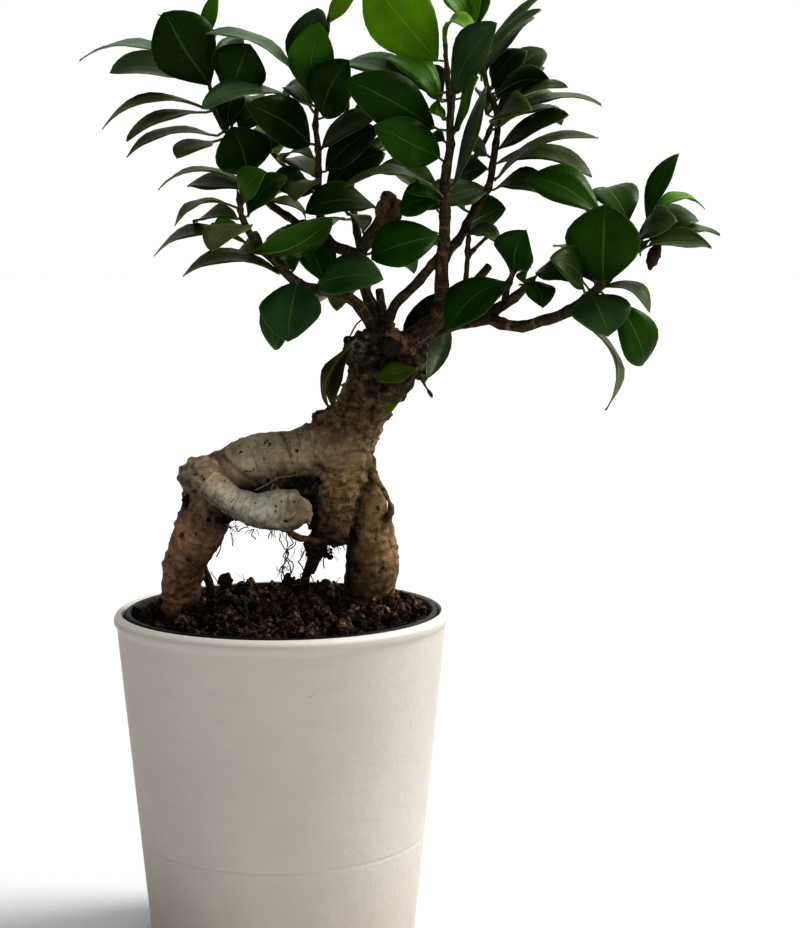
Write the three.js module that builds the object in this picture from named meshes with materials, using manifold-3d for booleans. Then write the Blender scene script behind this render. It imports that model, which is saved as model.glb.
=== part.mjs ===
import * as THREE from "three";
import { mergeVertices } from "three/addons/utils/BufferGeometryUtils.js";
import Module from "manifold-3d";

// A grafted ficus in its growing pot, which stands in a ceramic cover pot.
// Millimetres, +Z up, origin in the middle of the cover pot's base. The photographed side faces -Y.

const wasm = await Module();
wasm.setup();

// Cover pot
const RIM_DIAMETER = 130;
const POT_HEIGHT = 130;
const BASE_DIAMETER = 103;
const POT_WALL = 3.8;
const POT_FLOOR = 6.5;
const RIM_BEAD_HEIGHT = 4;
const RIM_BEAD_OVERHANG = 0.8;
const RING_LINE_HEIGHT = 42;
const RING_LINE_DEPTH = 0.4;
const POT_SIDES = 32;

// Growing pot
const LIP_DIAMETER = 121.6;
const LIP_TOP = 131.2;
const LIP_HEIGHT = 5.6;
const LIP_WIDTH = 3.2;
const GROWING_POT_WALL = 1.1;
const GROWING_POT_FLOOR = 1.4;
const GROWING_POT_BASE_DIAMETER = 88;
const DRAIN_HOLE_DIAMETER = 8;
const DRAIN_HOLE_RING = 26;
const DRAIN_HOLES = 5;

// Soil
const SOIL_LEVEL = 128.6;
const SOIL_EDGE_LEVEL = 126.5;
const SOIL_SIDES = 24;
const SOIL_RINGS = [49, 38, 27, 15];

// Clearances and tessellation
const SEAT_GAP = 0.3;
const ROOT_STEP = 10.4;
const STEM_STEP = 10;
const TRUNK_SIDES = 10;
const STEM_SIDES = 7;
const TWIG_SIDES = 5;
const SMALL_KNOB = 3.5;
const FINEST_DETAIL = 0.004;

// Leaves
const BLADE_THICKNESS = 0.7;
const PETIOLE_WIDTH = 1.7;
const BLADE_ROWS = [0, 0.3, 0.7, 1];
const BLADE_CLEARANCE = 1.4;
const BLADE_TEST_ROWS = 8;
const SWING_STEP = 5;
const ROOT_SPREAD = 0.055;
const LEAST_PETIOLE = 1.6;
const FILLER_SEED = 4211;

// The point that the plant was photographed from. Roots, stems and leaves are placed as they are seen
// from it on the upright plane through the pot's axis, as x and z, with their depth behind that plane.
const EYE = new THREE.Vector3(46, -780, 275.4);
const PICTURE_TOP = 363;

// Roots and trunk, each a run of [x, z, depth, radius].
const ROOTS = {
  leftLeg: [
    [-26, 182, 0, 8.0], [-28.2, 174, 1, 10.2], [-30.6, 164, -1, 10.4], [-34.6, 155, -1, 9.2],
    [-38, 146, 1, 8.0], [-39, 135, 4, 7.4], [-39, 122, 5, 7.0], [-39, 108, 6, 5.5],
  ],
  kneeKnob: [
    [-34.6, 177.5, -4, 5.0], [-34, 182, -5, 6.0], [-30, 185.5, -6, 4.4],
  ],
  crossingRoot: [
    [-32, 182.5, -8, 4.8], [-28, 180, -10, 5.8], [-23, 175.8, -12, 6.1], [-18, 171.8, -13, 6.1],
    [-13, 169.8, -14, 6.3], [-6.5, 168.8, -15, 7.3], [0.5, 169, -14, 8.1], [6, 169, -13, 7.4],
    [9, 169, -12, 4.6],
  ],
  thigh: [
    [-27, 182, -1, 6.0], [-19, 185, 0, 9.4], [-12, 187, 1, 11.0], [-4, 189, 2, 11.2],
    [4, 190, 3, 10.4], [13, 192, 4, 9.8], [23, 194, 5, 9.8],
  ],
  underThigh: [
    [-12, 180, 4, 5.0], [-4, 179, 4, 6.0], [4, 179.5, 5, 6.6], [12, 180, 6, 6.6],
    [20, 182, 6, 6.0],
  ],
  trunk: [
    [40, 231, 0, 11.5], [39, 224, 1, 12.2], [35, 216, 2, 10.8], [31, 207, 3, 10.3],
    [26, 198, 5, 10.4], [24, 188, 6, 11.3], [23, 178, 7, 12.0], [22, 168, 8, 10.4],
    [20, 160, 7, 6.4],
  ],
  rightLeg: [
    [29, 188, 7, 6.6], [32, 178, 9, 6.8], [34, 168, 11, 8.0], [35, 157, 14, 10.0],
    [35, 146, 17, 10.7], [34, 137, 19, 10.0], [34, 129, 20, 9.0], [33, 118, 20, 7.5],
    [33, 104, 20, 5.5],
  ],
  underRoot: [
    [19, 158, 4, 2.2], [13, 157, 2, 1.6], [5, 159, 0, 1.2], [2, 163, -4, 1.2],
  ],
  soilRoot: [
    [16, 161, 8, 3.6], [13, 155, 9, 4.2], [13, 149, 10, 2.2], [10, 145, 11, 1.7],
    [9, 137, 11, 1.7], [8, 125, 11, 1.4],
  ],
  sideRoot: [
    [-32, 151, 4, 2.4], [-30, 145, 8, 1.8], [-27, 137, 11, 1.6], [-27, 126, 12, 1.3],
  ],
  twigRoot: [
    [31, 185, 4, 2.6], [37, 181, 1, 1.5], [40, 176, 0, 1.2], [42, 172, 2, 1.1],
    [42.5, 168, 6, 1.6], [40, 165, 9, 1.4],
  ],
  cutStub: [
    [41, 232, -8, 4.6], [45, 234, -11, 4.4], [49, 233, -13, 4.0],
  ],
};

// Swellings of the old cut and the graft on top of the trunk, as [x, z, depth, radius].
const KNOBS = {
  graftLeft: [31, 230, -2, 7.5],
  graftRight: [48, 228, 2, 8.5],
  graftFront: [40, 226, -7, 8.0],
  graftBack: [41, 230, 8, 7.5],
  graftTop: [39, 234, 1, 6.5],
  graftLow: [45, 220, 0, 6.5],
  barkLump: [16, 205, 3, 3.2],
  kneeBump: [-29.9, 187, -7, 3.0],
  kneeNub: [-26.6, 185.4, -9, 2.3],
  saddle: [18, 195, 3, 9.5],
};

// Roots that reach into the soil, and so stand in holes in it.
const BURIED_ROOTS = ["leftLeg", "rightLeg", "soilRoot", "sideRoot"];

// Grafted stems with their forks and twigs, each a run of [x, z, depth, radius].
const STEMS = {
  leftLow: {
    axis: [
      [38, 236, 0, 2.6], [33, 244, -2, 2.4], [29, 249, -4, 2.2], [24, 252, -6, 2.1],
      [16, 254, -9, 2.0], [10, 255, -11, 1.9], [5, 258, -12, 1.8], [-1, 264, -13, 1.6],
      [-7, 270, -14, 1.5], [-11, 275, -15, 1.3], [-14, 281, -15, 1.2], [-15, 286, -15, 0.9],
    ],
  },
  leftHigh: {
    axis: [
      [38, 236, 2, 2.6], [36, 245, 3, 2.4], [33, 253, 4, 2.2], [31, 262, 5, 2.1],
      [31, 268, 5, 2.4], [34, 273, 4, 2.9], [39, 279, 3, 3.4], [42, 283, 3, 4.8],
      [44, 287, 3, 3.6],
    ],
    fork: [
      [32, 267, 5, 2.2], [25, 269, 6, 2.1], [20, 271, 7, 2.2], [17, 275, 8, 2.1],
      [16, 280, 9, 1.6], [15, 288, 10, 1.4], [15, 297, 10, 1.3], [15, 307, 10, 1.2],
      [14, 316, 10, 1.1], [15, 326, 11, 0.9], [17, 340, 12, 0.8], [19, 354, 12, 0.7],
    ],
    far: [
      [17, 274, 8, 2.0], [10, 277, 12, 1.7], [3, 282, 15, 1.5], [-4, 287, 18, 1.4],
      [-8, 294, 20, 1.3], [-12, 301, 20, 1.2], [-16, 308, 19, 1.1], [-20, 314, 18, 1.1],
      [-24, 321, 17, 1.0], [-26, 331, 16, 0.8], [-27, 341, 17, 0.7], [-27, 349, 18, 0.6],
    ],
  },
  main: {
    axis: [
      [45, 232, -1, 4.2], [51, 236, -2, 3.9], [57, 240, -3, 3.7], [61, 244, -4, 3.4],
      [62, 250, -5, 3.0], [62, 263, -6, 2.5], [63, 277, -7, 2.2], [63, 286, -8, 2.0],
      [63, 296, -8, 1.8], [65, 307, -8, 1.6], [65, 315, -8, 1.5], [65, 325, -7, 1.3],
      [64, 334, -6, 1.1], [63, 346, -6, 0.8],
    ],
    inner: [
      [40, 237, -2, 2.2], [44, 248, -1, 2.0], [52, 256, -1, 1.9], [57, 262, -3, 1.8],
      [62, 268, -6, 1.7],
    ],
    short: [
      [40, 239, 2, 2.1], [39, 247, 3, 1.8], [38, 254, 4, 1.5],
    ],
    fork: [
      [62, 264, -5, 1.9], [65, 269, -2, 1.8], [69, 274, 1, 1.6], [73, 282, 6, 1.5],
      [77, 288, 9, 1.4], [80, 294, 12, 1.4], [81, 300, 13, 1.3], [82, 307, 14, 1.3],
      [83, 316, 14, 1.2], [82, 323, 14, 1.1], [79, 330, 14, 1.0], [77, 340, 13, 0.8],
      [74, 353, 12, 0.7],
    ],
  },
  rightLow: {
    axis: [
      [51, 233, 8, 3.0], [59, 238, 9, 2.8], [67, 241, 6, 2.6], [74, 242, 1, 2.5],
      [80, 243, -3, 2.4], [85, 241, -7, 2.3], [93, 240, -10, 2.2], [100, 242, -12, 2.2],
      [107, 244, -14, 2.2], [114, 248, -15, 2.1], [119, 252, -16, 2.0], [125, 258, -16, 1.9],
      [130, 264, -15, 1.8], [136, 269, -14, 1.4],
    ],
    side: [
      [77, 242, -2, 2.2], [82, 246, -3, 2.1], [87, 249, -5, 1.9], [91, 252, -6, 1.8],
      [94, 255, -7, 1.4],
    ],
    sideTwig: [
      [86, 249, -5, 1.4], [87, 255, -7, 1.2], [89, 260, -8, 1.1],
    ],
    bare: [
      [76, 242, 0, 1.4], [71, 249, 1, 1.2], [71, 255, 1, 1.0], [72, 271, 2, 0.9],
    ],
    bareSide: [
      [72, 266, 2, 0.8], [74, 269, 2, 0.7], [78, 273, 3, 0.6],
    ],
    stub: [
      [74, 244, 2, 1.8], [74, 253, 3, 1.6], [76, 258, 4, 1.6], [80, 263, 5, 1.5],
    ],
  },
  backLeft: {
    axis: [
      [35, 236, 9, 2.2], [35, 245, 13, 2.0], [33, 254, 18, 1.9], [32, 264, 26, 1.7],
      [30, 274, 36, 1.5], [28, 286, 46, 1.4], [27, 297, 54, 1.3], [26, 309, 59, 1.1],
      [26, 322, 61, 0.9],
    ],
    fork: [
      [28, 286, 46, 1.3], [19, 290, 54, 1.2], [10, 295, 58, 1.1], [2, 301, 58, 0.9],
      [-6, 310, 52, 0.8],
    ],
  },
  backRight: {
    axis: [
      [47, 234, 10, 2.2], [55, 240, 16, 2.0], [61, 246, 22, 1.9], [62, 257, 29, 1.7],
      [63, 269, 37, 1.5], [64, 282, 45, 1.4], [64, 295, 52, 1.3], [65, 310, 57, 1.1],
      [66, 325, 60, 0.9],
    ],
    fork: [
      [64, 289, 50, 1.3], [71, 299, 56, 1.2], [78, 310, 58, 1.0], [84, 324, 56, 0.8],
    ],
  },
  sproutFront: {
    axis: [[50, 225, -2, 1.3], [53, 224, -9, 1.0]],
  },
  sproutNeck: {
    axis: [[45, 215, 0, 1.1], [48, 214, -3, 0.8]],
  },
  sproutBack: {
    axis: [[50, 222, 4, 1.6], [56, 220, 8, 1.2]],
  },
  dryLeaf: {
    axis: [[29, 231, -3, 1.1], [25, 233, -7, 0.8]],
  },
};

// Leaves that the photograph shows, as [base, tip, how much deeper the tip lies, width, the angle from
// the view to the upper face, arch].
const SEEN_LEAVES = {
  leftLow: [
    [[-14, 286], [-6, 299], -6, 17, 55, 2],
    [[-12, 282], [2, 298], 4, 17, 50, 2],
    [[-16, 285], [-40, 279], -8, 14, 82, 5],
    [[-16, 281], [-32, 280], 10, 16, 70, 2],
    [[-16, 278], [-25, 278], -6, 7, 60, 2],
    [[-13, 272], [-48, 268], -6, 16, 74, 6],
    [[-12, 278], [-26, 270], -18, 17, 60, 3],
    [[-10, 268], [20, 282], -10, 20, 128, -5],
    [[5, 261], [9, 281], 8, 18, 42, 2],
    [[-2, 266], [4, 279], 10, 13, 70, 2],
    [[0, 260], [-37, 260], -4, 18, 72, 6],
    [[-6, 268], [-17, 268], 16, 16, 50, 2],
    [[7, 257], [3, 235], -14, 24, 14, 3],
    [[6, 255], [-3, 231], 8, 16, 40, 3],
    [[14, 255], [39, 259], -14, 20, 40, 4],
    [[17, 256], [9, 273], 14, 17, 30, 2],
  ],
  leftHigh: [
    [[-26, 331], [-43, 358], -8, 27, 10, 2],
    [[-27, 348], [-23, 365], 2, 8, 40, 1],
    [[-33, 338], [-75, 341], 6, 17, 80, 7],
    [[-30, 333], [-63, 337], 14, 18, 122, 4],
    [[-18, 327], [-11, 346], -10, 23, 14, 2],
    [[-21, 329], [-14, 348], 18, 18, 130, 2],
    [[8, 334], [-27, 351], -6, 15, 74, 5],
    [[-27, 322], [-67, 316], -8, 15, 78, 7],
    [[-29, 321], [-58, 311], -12, 15, 72, 3],
    [[-24, 312], [-58, 305], -8, 14, 76, 5],
    [[-25, 310], [-39, 305], -14, 15, 66, 1],
    [[3, 327], [-29, 323], -16, 17, 66, 4],
    [[12, 309], [-11, 324], -14, 19, 22, 3],
    [[-15, 314], [-5, 324], 10, 18, 30, 2],
    [[-19, 315], [-17, 327], 14, 15, 30, 2],
    [[-12, 297], [-17, 315], -12, 24, 12, 3],
    [[-9, 306], [1, 310], 12, 12, 130, 2],
    [[-13, 294], [-46, 293], -4, 13, 82, 6],
    [[-13, 292], [-35, 294], 8, 15, 62, 2],
    [[13, 304], [1, 303], 10, 12, 76, 3],
    [[13, 291], [-3, 295], -8, 16, 46, 2],
    [[13, 297], [2, 303], 14, 14, 56, 3],
    [[-3, 293], [-14, 301], -12, 13, 60, 1],
    [[10, 283], [-5, 288], 6, 14, 74, 2],
    [[37, 285], [10, 284], -8, 20, 52, 4],
    [[32, 276], [26, 283], 12, 12, 60, 2],
    [[18, 299], [37, 315], -10, 19, 44, 3],
    [[18, 292], [40, 306], -14, 19, 42, 3],
    [[16, 307], [36, 319], 4, 17, 60, 3],
    [[13, 295], [6, 289], -16, 14, 56, 2],
    [[12, 328], [15, 354], -10, 18, 6, 2],
    [[9, 332], [15, 360], 14, 17, 30, 2],
    [[19, 354], [31, 369], -4, 8, 30, 1],
    [[17, 319], [26, 340], -8, 22, 30, 4],
    [[12, 323], [4, 331], 14, 13, 40, 2],
    [[35, 270], [45, 278], 14, 14, 50, 2],
  ],
  main: [
    [[60, 340], [34, 370], -8, 26, 4, 2],
    [[59, 315], [26, 333], -12, 21, 16, 5],
    [[61, 325], [41, 342], 4, 16, 50, 4],
    [[61, 326], [57, 338], 12, 12, 140, 1],
    [[61, 304], [37, 316], -14, 18, 12, 3],
    [[60, 294], [37, 300], 4, 16, 60, 3],
    [[61, 291], [25, 294], -6, 14, 76, 6],
    [[60, 288], [50, 292], -10, 11, 60, 2],
    [[61, 287], [46, 284], 6, 16, 40, 3],
    [[61, 274], [45, 271], 2, 14, 50, 2],
    [[61, 274], [35, 266], -14, 21, 30, 4],
    [[41, 251], [53, 260], 8, 12, 30, 2],
    [[63, 310], [57, 312], -6, 8, 40, 1],
    [[63, 319], [58, 322], -6, 8, 50, 1],
    [[57, 328], [21, 338], 6, 19, 62, 6],
    [[79, 292], [56, 285], -18, 19, 50, 3],
    [[82, 292], [102, 291], -8, 18, 60, 4],
    [[71, 278], [85, 285], 4, 17, 150, 2],
    [[70, 274], [84, 273], -8, 12, 66, 3],
    [[63, 346], [76, 350], -8, 12, 76, 8],
    [[73, 352], [77, 368], -4, 9, 50, 1],
    [[75, 352], [76, 371], 8, 15, 30, 1],
    [[73, 353], [61, 367], 4, 12, 50, 1],
    [[76, 335], [99, 365], 10, 13, 68, 2],
    [[69, 326], [98, 360], -12, 14, 74, 3],
    [[78, 336], [96, 357], 16, 14, 58, 2],
    [[77, 331], [104, 353], -10, 15, 64, 4],
    [[66, 328], [82, 354], -14, 19, 44, 2],
    [[81, 330], [93, 345], -2, 17, 50, 2],
    [[83, 329], [100, 345], 18, 16, 40, 2],
    [[83, 328], [103, 333], 4, 18, 120, 3],
    [[83, 326], [99, 337], 22, 17, 60, 3],
    [[84, 321], [103, 329], 12, 18, 48, 3],
    [[84, 320], [109, 331], 2, 13, 78, 4],
    [[85, 318], [122, 325], -2, 14, 78, 5],
    [[82, 316], [95, 322], -16, 15, 66, 4],
    [[84, 317], [105, 323], 14, 14, 70, 2],
    [[83, 307], [109, 321], -8, 15, 62, 1],
    [[82, 295], [121, 312], -6, 15, 76, 6],
    [[83, 302], [119, 298], -14, 17, 66, 5],
    [[66, 293], [78, 331], -8, 15, 70, -2],
    [[67, 314], [74, 334], -10, 13, 70, -1],
    [[79, 320], [76, 330], 6, 13, 60, 1],
    [[79, 305], [70, 310], -8, 14, 60, 2],
    [[79, 300], [66, 294], 4, 18, 50, 2],
  ],
  rightLow: [
    [[122, 283], [94, 297], 10, 20, 42, 3],
    [[133, 280], [124, 293], 22, 19, 30, 3],
    [[124, 256], [124, 286], -8, 29, 12, 3],
    [[137, 270], [122, 274], -20, 15, 50, 2],
    [[137, 273], [151, 280], -14, 16, 55, 3],
    [[140, 281], [151, 306], 2, 12, 50, 1],
    [[142, 283], [162, 285], 6, 10, 70, 5],
    [[140, 276], [159, 282], 10, 17, 50, 3],
    [[141, 273], [168, 275], 0, 13, 70, 3],
    [[141, 271], [165, 271], -6, 15, 120, 2],
    [[119, 252], [126, 237], -16, 23, 20, 3],
    [[124, 255], [142, 246], -4, 15, 70, 4],
    [[129, 249], [140, 225], 8, 18, 30, 3],
    [[116, 241], [126, 208], -4, 14, 80, 8],
    [[88, 262], [85, 273], 8, 12, 60, 1],
    [[90, 261], [93, 276], -8, 18, 30, 2],
    [[116, 257], [98, 262], 14, 14, 40, 2],
    [[116, 255], [104, 266], -10, 17, 50, 3],
    [[121, 262], [105, 271], 12, 14, 66, 2],
    [[95, 257], [101, 248], -8, 13, 40, 2],
    [[94, 256], [95, 263], 4, 8, 60, 1],
    [[87, 257], [64, 239], -14, 20, 38, 4],
  ],
  sproutFront: [
    [[52, 224], [37, 220], -5, 8.5, 30, 1],
  ],
  sproutNeck: [
    [[47, 214], [41, 207], -3, 5, 30, 1],
  ],
  sproutBack: [
    [[56, 220], [59, 252], 6, 21, 160, 3],
  ],
  dryLeaf: [
    [[25, 232], [18, 208], -2, 9, 50, 2],
    [[24, 232], [15, 210], 5, 8, 70, 3],
  ],
};

// Stems that carry more leaves on the side that the photograph doesn't show, as [stem, part, the first
// and last place along the part, number of leaves tried].
const FILLED_STEMS = [
  ["backLeft", "axis", 0.3, 0.97, 13],
  ["backLeft", "fork", 0.3, 0.97, 9],
  ["backRight", "axis", 0.3, 0.97, 16],
  ["backRight", "fork", 0.2, 0.97, 16],
  ["leftHigh", "far", 0.2, 0.97, 12],
  ["leftHigh", "fork", 0.3, 0.97, 9],
  ["leftLow", "axis", 0.5, 0.97, 16],
  ["main", "axis", 0.4, 0.97, 12],
  ["main", "fork", 0.2, 0.97, 12],
  ["rightLow", "axis", 0.6, 0.97, 16],
];

// Materials

function matt(colour, roughness) {
  return new THREE.MeshStandardMaterial({ color: colour, roughness, metalness: 0 });
}

const glaze = matt(0xe6e1d8, 0.62);
const blackPlastic = matt(0x1b1c1d, 0.5);
const peat = matt(0x24170f, 0.95);
const bark = matt(0x8a755c, 0.85);
const foliage = matt(0x2c4a1c, 0.42);
const youngFoliage = matt(0x5f8f1e, 0.45);
const dryFoliage = matt(0x4a4322, 0.8);

// Solids

function solidOf(geometry) {
  geometry.deleteAttribute("normal");
  geometry.deleteAttribute("uv");
  const merged = mergeVertices(geometry, 1e-4);
  return new wasm.Manifold(
    new wasm.Mesh({
      numProp: 3,
      vertProperties: merged.attributes.position.array,
      triVerts: new Uint32Array(merged.index.array),
    }),
  );
}

function meshOf(name, solid, material) {
  const { vertProperties, triVerts } = solid.getMesh();
  const geometry = new THREE.BufferGeometry();
  geometry.setAttribute("position", new THREE.BufferAttribute(vertProperties, 3));
  geometry.setIndex(new THREE.BufferAttribute(triVerts, 1));
  geometry.computeVertexNormals();
  const mesh = new THREE.Mesh(geometry, material);
  mesh.name = name;
  return mesh;
}

function joined(solids) {
  return solids.reduce((all, solid) => all.add(solid));
}

function largestBody(solid) {
  return solid.decompose().reduce((best, body) => (body.volume() > best.volume() ? body : best));
}

// A solid of revolution about +Z from a profile of [radius, z].
function turned(profile, sides) {
  const points = profile.map(([radius, z]) => new THREE.Vector2(radius, z));
  const geometry = new THREE.LatheGeometry(points, sides);
  geometry.rotateX(Math.PI / 2);
  return geometry;
}

// Cover pot

function coverPotRadius(z) {
  const straightRim = RIM_DIAMETER / 2 - RIM_BEAD_OVERHANG;
  return BASE_DIAMETER / 2 + ((straightRim - BASE_DIAMETER / 2) * z) / POT_HEIGHT;
}

function coverPot() {
  const rim = RIM_DIAMETER / 2;
  const beadFoot = POT_HEIGHT - RIM_BEAD_HEIGHT;
  const lineEdge = 1;
  const innerTop = rim - 3.6;
  const innerFoot = BASE_DIAMETER / 2 - POT_WALL + 0.5;
  const profile = [
    [0, 0],
    [BASE_DIAMETER / 2 - 1, 0],
    [coverPotRadius(1), 1],
    [coverPotRadius(RING_LINE_HEIGHT - lineEdge), RING_LINE_HEIGHT - lineEdge],
    [coverPotRadius(RING_LINE_HEIGHT) - RING_LINE_DEPTH, RING_LINE_HEIGHT],
    [coverPotRadius(RING_LINE_HEIGHT + lineEdge), RING_LINE_HEIGHT + lineEdge],
    [coverPotRadius(beadFoot) - 0.3, beadFoot - 0.6],
    [rim - 0.3, beadFoot + 0.6],
    [rim, beadFoot + 1.8],
    [rim - 0.3, POT_HEIGHT - 0.8],
    [rim - 1.2, POT_HEIGHT],
    [rim - 2.6, POT_HEIGHT],
    [innerTop, POT_HEIGHT - 1.2],
    [innerFoot, POT_FLOOR],
    [0, POT_FLOOR],
  ];
  return solidOf(turned(profile, POT_SIDES));
}

// Growing pot

const GROWING_POT_FOOT = POT_FLOOR + SEAT_GAP;
const LIP_FOOT = LIP_TOP - LIP_HEIGHT;

function growingPotRadius(z) {
  const foot = GROWING_POT_BASE_DIAMETER / 2;
  const top = LIP_DIAMETER / 2 - LIP_WIDTH;
  return foot + ((top - foot) * (z - GROWING_POT_FOOT)) / (LIP_FOOT - GROWING_POT_FOOT);
}

function drainHole(x, y) {
  const hole = new THREE.CylinderGeometry(DRAIN_HOLE_DIAMETER / 2, DRAIN_HOLE_DIAMETER / 2, 8, 8);
  hole.rotateX(Math.PI / 2);
  hole.translate(x, y, GROWING_POT_FOOT);
  return solidOf(hole);
}

function growingPot() {
  const lip = LIP_DIAMETER / 2;
  const innerFloor = GROWING_POT_FOOT + GROWING_POT_FLOOR;
  const profile = [
    [0, GROWING_POT_FOOT],
    [GROWING_POT_BASE_DIAMETER / 2, GROWING_POT_FOOT],
    [growingPotRadius(LIP_FOOT), LIP_FOOT],
    [lip, LIP_FOOT],
    [lip, LIP_TOP - 1],
    [lip - 1.2, LIP_TOP],
    [lip - LIP_WIDTH - 0.2, LIP_TOP - 0.5],
    [growingPotRadius(LIP_FOOT) - GROWING_POT_WALL, LIP_FOOT],
    [growingPotRadius(innerFloor) - GROWING_POT_WALL, innerFloor],
    [0, innerFloor],
  ];
  let pot = solidOf(turned(profile, POT_SIDES)).subtract(drainHole(0, 0));
  for (let i = 0; i < DRAIN_HOLES; i++) {
    const angle = (2 * Math.PI * i) / DRAIN_HOLES;
    const hole = drainHole(DRAIN_HOLE_RING * Math.cos(angle), DRAIN_HOLE_RING * Math.sin(angle));
    pot = pot.subtract(hole);
  }
  return pot;
}

// Soil

function soilHeight(x, y) {
  const mound = 2.2 * Math.max(0, y / 55);
  const dip = -4 * Math.max(0, (-x - 36) / 18);
  const clods = Math.sin(x / 5.3 + 1.2) * Math.cos(y / 4.7 + 0.4) + 0.6 * Math.sin(x / 2.9 - y / 3.7);
  return SOIL_LEVEL + mound + dip + clods;
}

function soil(holes) {
  const clear = GROWING_POT_WALL + SEAT_GAP;
  const foot = GROWING_POT_FOOT + GROWING_POT_FLOOR + SEAT_GAP;
  const profile = [
    [0, foot],
    [growingPotRadius(foot) - clear - 0.4, foot],
    [growingPotRadius(SOIL_EDGE_LEVEL) - clear, SOIL_EDGE_LEVEL],
    ...SOIL_RINGS.map((radius) => [radius, SOIL_LEVEL]),
    [0, SOIL_LEVEL],
  ];
  const geometry = turned(profile, SOIL_SIDES);
  const place = geometry.attributes.position;
  for (let i = 0; i < place.count; i++)
    if (Math.abs(place.getZ(i) - SOIL_LEVEL) < 1e-3)
      place.setZ(i, soilHeight(place.getX(i), place.getY(i)));
  return holes.reduce((body, hole) => body.subtract(hole), solidOf(geometry));
}

// Limbs: roots, trunk and stems

function seen(x, z, depth) {
  return new THREE.Vector3(x, 0, z).sub(EYE).multiplyScalar(1 - depth / EYE.y).add(EYE);
}

function limbSides(run) {
  const widest = Math.max(...run.map(([, , , radius]) => radius));
  if (widest > 5) return TRUNK_SIDES;
  return widest > 2.4 ? STEM_SIDES : TWIG_SIDES;
}

// A closed tube along a run of [x, z, depth, radius]. Grown, it is wider and longer by that much.
function limb(run, step, grown = 0) {
  const sides = limbSides(run);
  const last = run.length - 1;
  const centres = run.map(([x, z, depth]) => seen(x, z, depth));
  const curve = new THREE.CatmullRomCurve3(centres, false, "catmullrom", 0.5);
  const steps = Math.max(1, Math.ceil(curve.getLength() / step));
  const geometry = new THREE.CylinderGeometry(1, 1, 1, sides, steps);
  const place = geometry.attributes.position;
  const normal = new THREE.Vector3(0.1, 1, 0.1);
  const rows = [];
  for (let row = 0; row <= steps; row++) {
    const t = row / steps;
    const from = Math.min(Math.floor(t * last), last - 1);
    const part = t * last - from;
    const tangent = curve.getTangent(t);
    normal.addScaledVector(tangent, -normal.dot(tangent)).normalize();
    const end = row === 0 ? -1 : row === steps ? 1 : 0;
    rows.push({
      centre: curve.getPoint(t).addScaledVector(tangent, end * grown),
      across: normal.clone(),
      beside: new THREE.Vector3().crossVectors(normal, tangent),
      radius: run[from][3] * (1 - part) + run[from + 1][3] * part + grown,
    });
  }
  for (let i = 0; i < place.count; i++) {
    const { centre, across, beside, radius } = rows[Math.round((place.getY(i) + 0.5) * steps)];
    const point = centre
      .clone()
      .addScaledVector(across, place.getX(i) * radius)
      .addScaledVector(beside, place.getZ(i) * radius);
    place.setXYZ(i, point.x, point.y, point.z);
  }
  return solidOf(geometry);
}

function knob([x, z, depth, radius], grown = 0) {
  const ball = new THREE.IcosahedronGeometry(radius + grown, radius < SMALL_KNOB ? 0 : 1);
  const at = seen(x, z, depth);
  ball.translate(at.x, at.y, at.z);
  return solidOf(ball);
}

function rootstock(grown = 0) {
  const roots = Object.values(ROOTS).map((run) => limb(run, ROOT_STEP, grown));
  const knobs = Object.values(KNOBS).map((at) => knob(at, grown));
  return joined([...roots, ...knobs]).simplify(FINEST_DETAIL);
}

function stemLimbs(stem, grown = 0) {
  return joined(Object.values(STEMS[stem]).map((run) => limb(run, STEM_STEP, grown)));
}

// Leaves. A blade runs from its start to its tip, with an upper face on the side of its normal.

function makeBlade(stem, root, start, tip, facing, width, arch) {
  const along = tip.clone().sub(start);
  const length = along.length();
  along.normalize();
  const normal = facing.clone().addScaledVector(along, -facing.dot(along)).normalize();
  const across = new THREE.Vector3().crossVectors(normal, along);
  return { stem, root, start, along, across, normal, length, width, arch };
}

function halfWidth(blade, s) {
  const shape = Math.sin(Math.PI * Math.min(Math.max(s, 0), 1) ** 1.15) ** 0.62;
  return Math.max((blade.width / 2) * shape, PETIOLE_WIDTH / 2);
}

function archHeight(blade, s) {
  return s <= 0 || s >= 1 ? 0 : 4 * blade.arch * s * (1 - s);
}

function bladePoint(blade, s, side) {
  return blade.start
    .clone()
    .addScaledVector(blade.along, s * blade.length)
    .addScaledVector(blade.across, side * halfWidth(blade, s))
    .addScaledVector(blade.normal, archHeight(blade, s));
}

// A blade and its petiole as a thin strip. Both faces are split along the same diagonals.
function bladeSolid(blade) {
  const rows = [[blade.root, PETIOLE_WIDTH / 2]];
  for (const s of BLADE_ROWS) rows.push([bladePoint(blade, s, 0), halfWidth(blade, s)]);
  const corners = [[-1, -1], [1, -1], [1, 1], [-1, 1]];
  const positions = [];
  for (const [centre, half] of rows)
    for (const [side, face] of corners) {
      const corner = centre
        .clone()
        .addScaledVector(blade.across, side * half)
        .addScaledVector(blade.normal, (face * BLADE_THICKNESS) / 2);
      positions.push(corner.x, corner.y, corner.z);
    }
  const last = 4 * (rows.length - 1);
  const index = [0, 2, 1, 0, 3, 2, last, last + 1, last + 2, last, last + 2, last + 3];
  for (let row = 0; row < last; row += 4)
    for (let k = 0; k < 4; k++) {
      const [a, b] = [row + k, row + ((k + 1) % 4)];
      if (k === 2) index.push(a, b, a + 4, b, b + 4, a + 4);
      else index.push(a, b, b + 4, a, b + 4, a + 4);
    }
  const geometry = new THREE.BufferGeometry();
  geometry.setAttribute("position", new THREE.BufferAttribute(new Float32Array(positions), 3));
  geometry.setIndex(index);
  return solidOf(geometry);
}

// Whether two things meet: a blade's place along, across and above its surface, tested with edges

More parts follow.
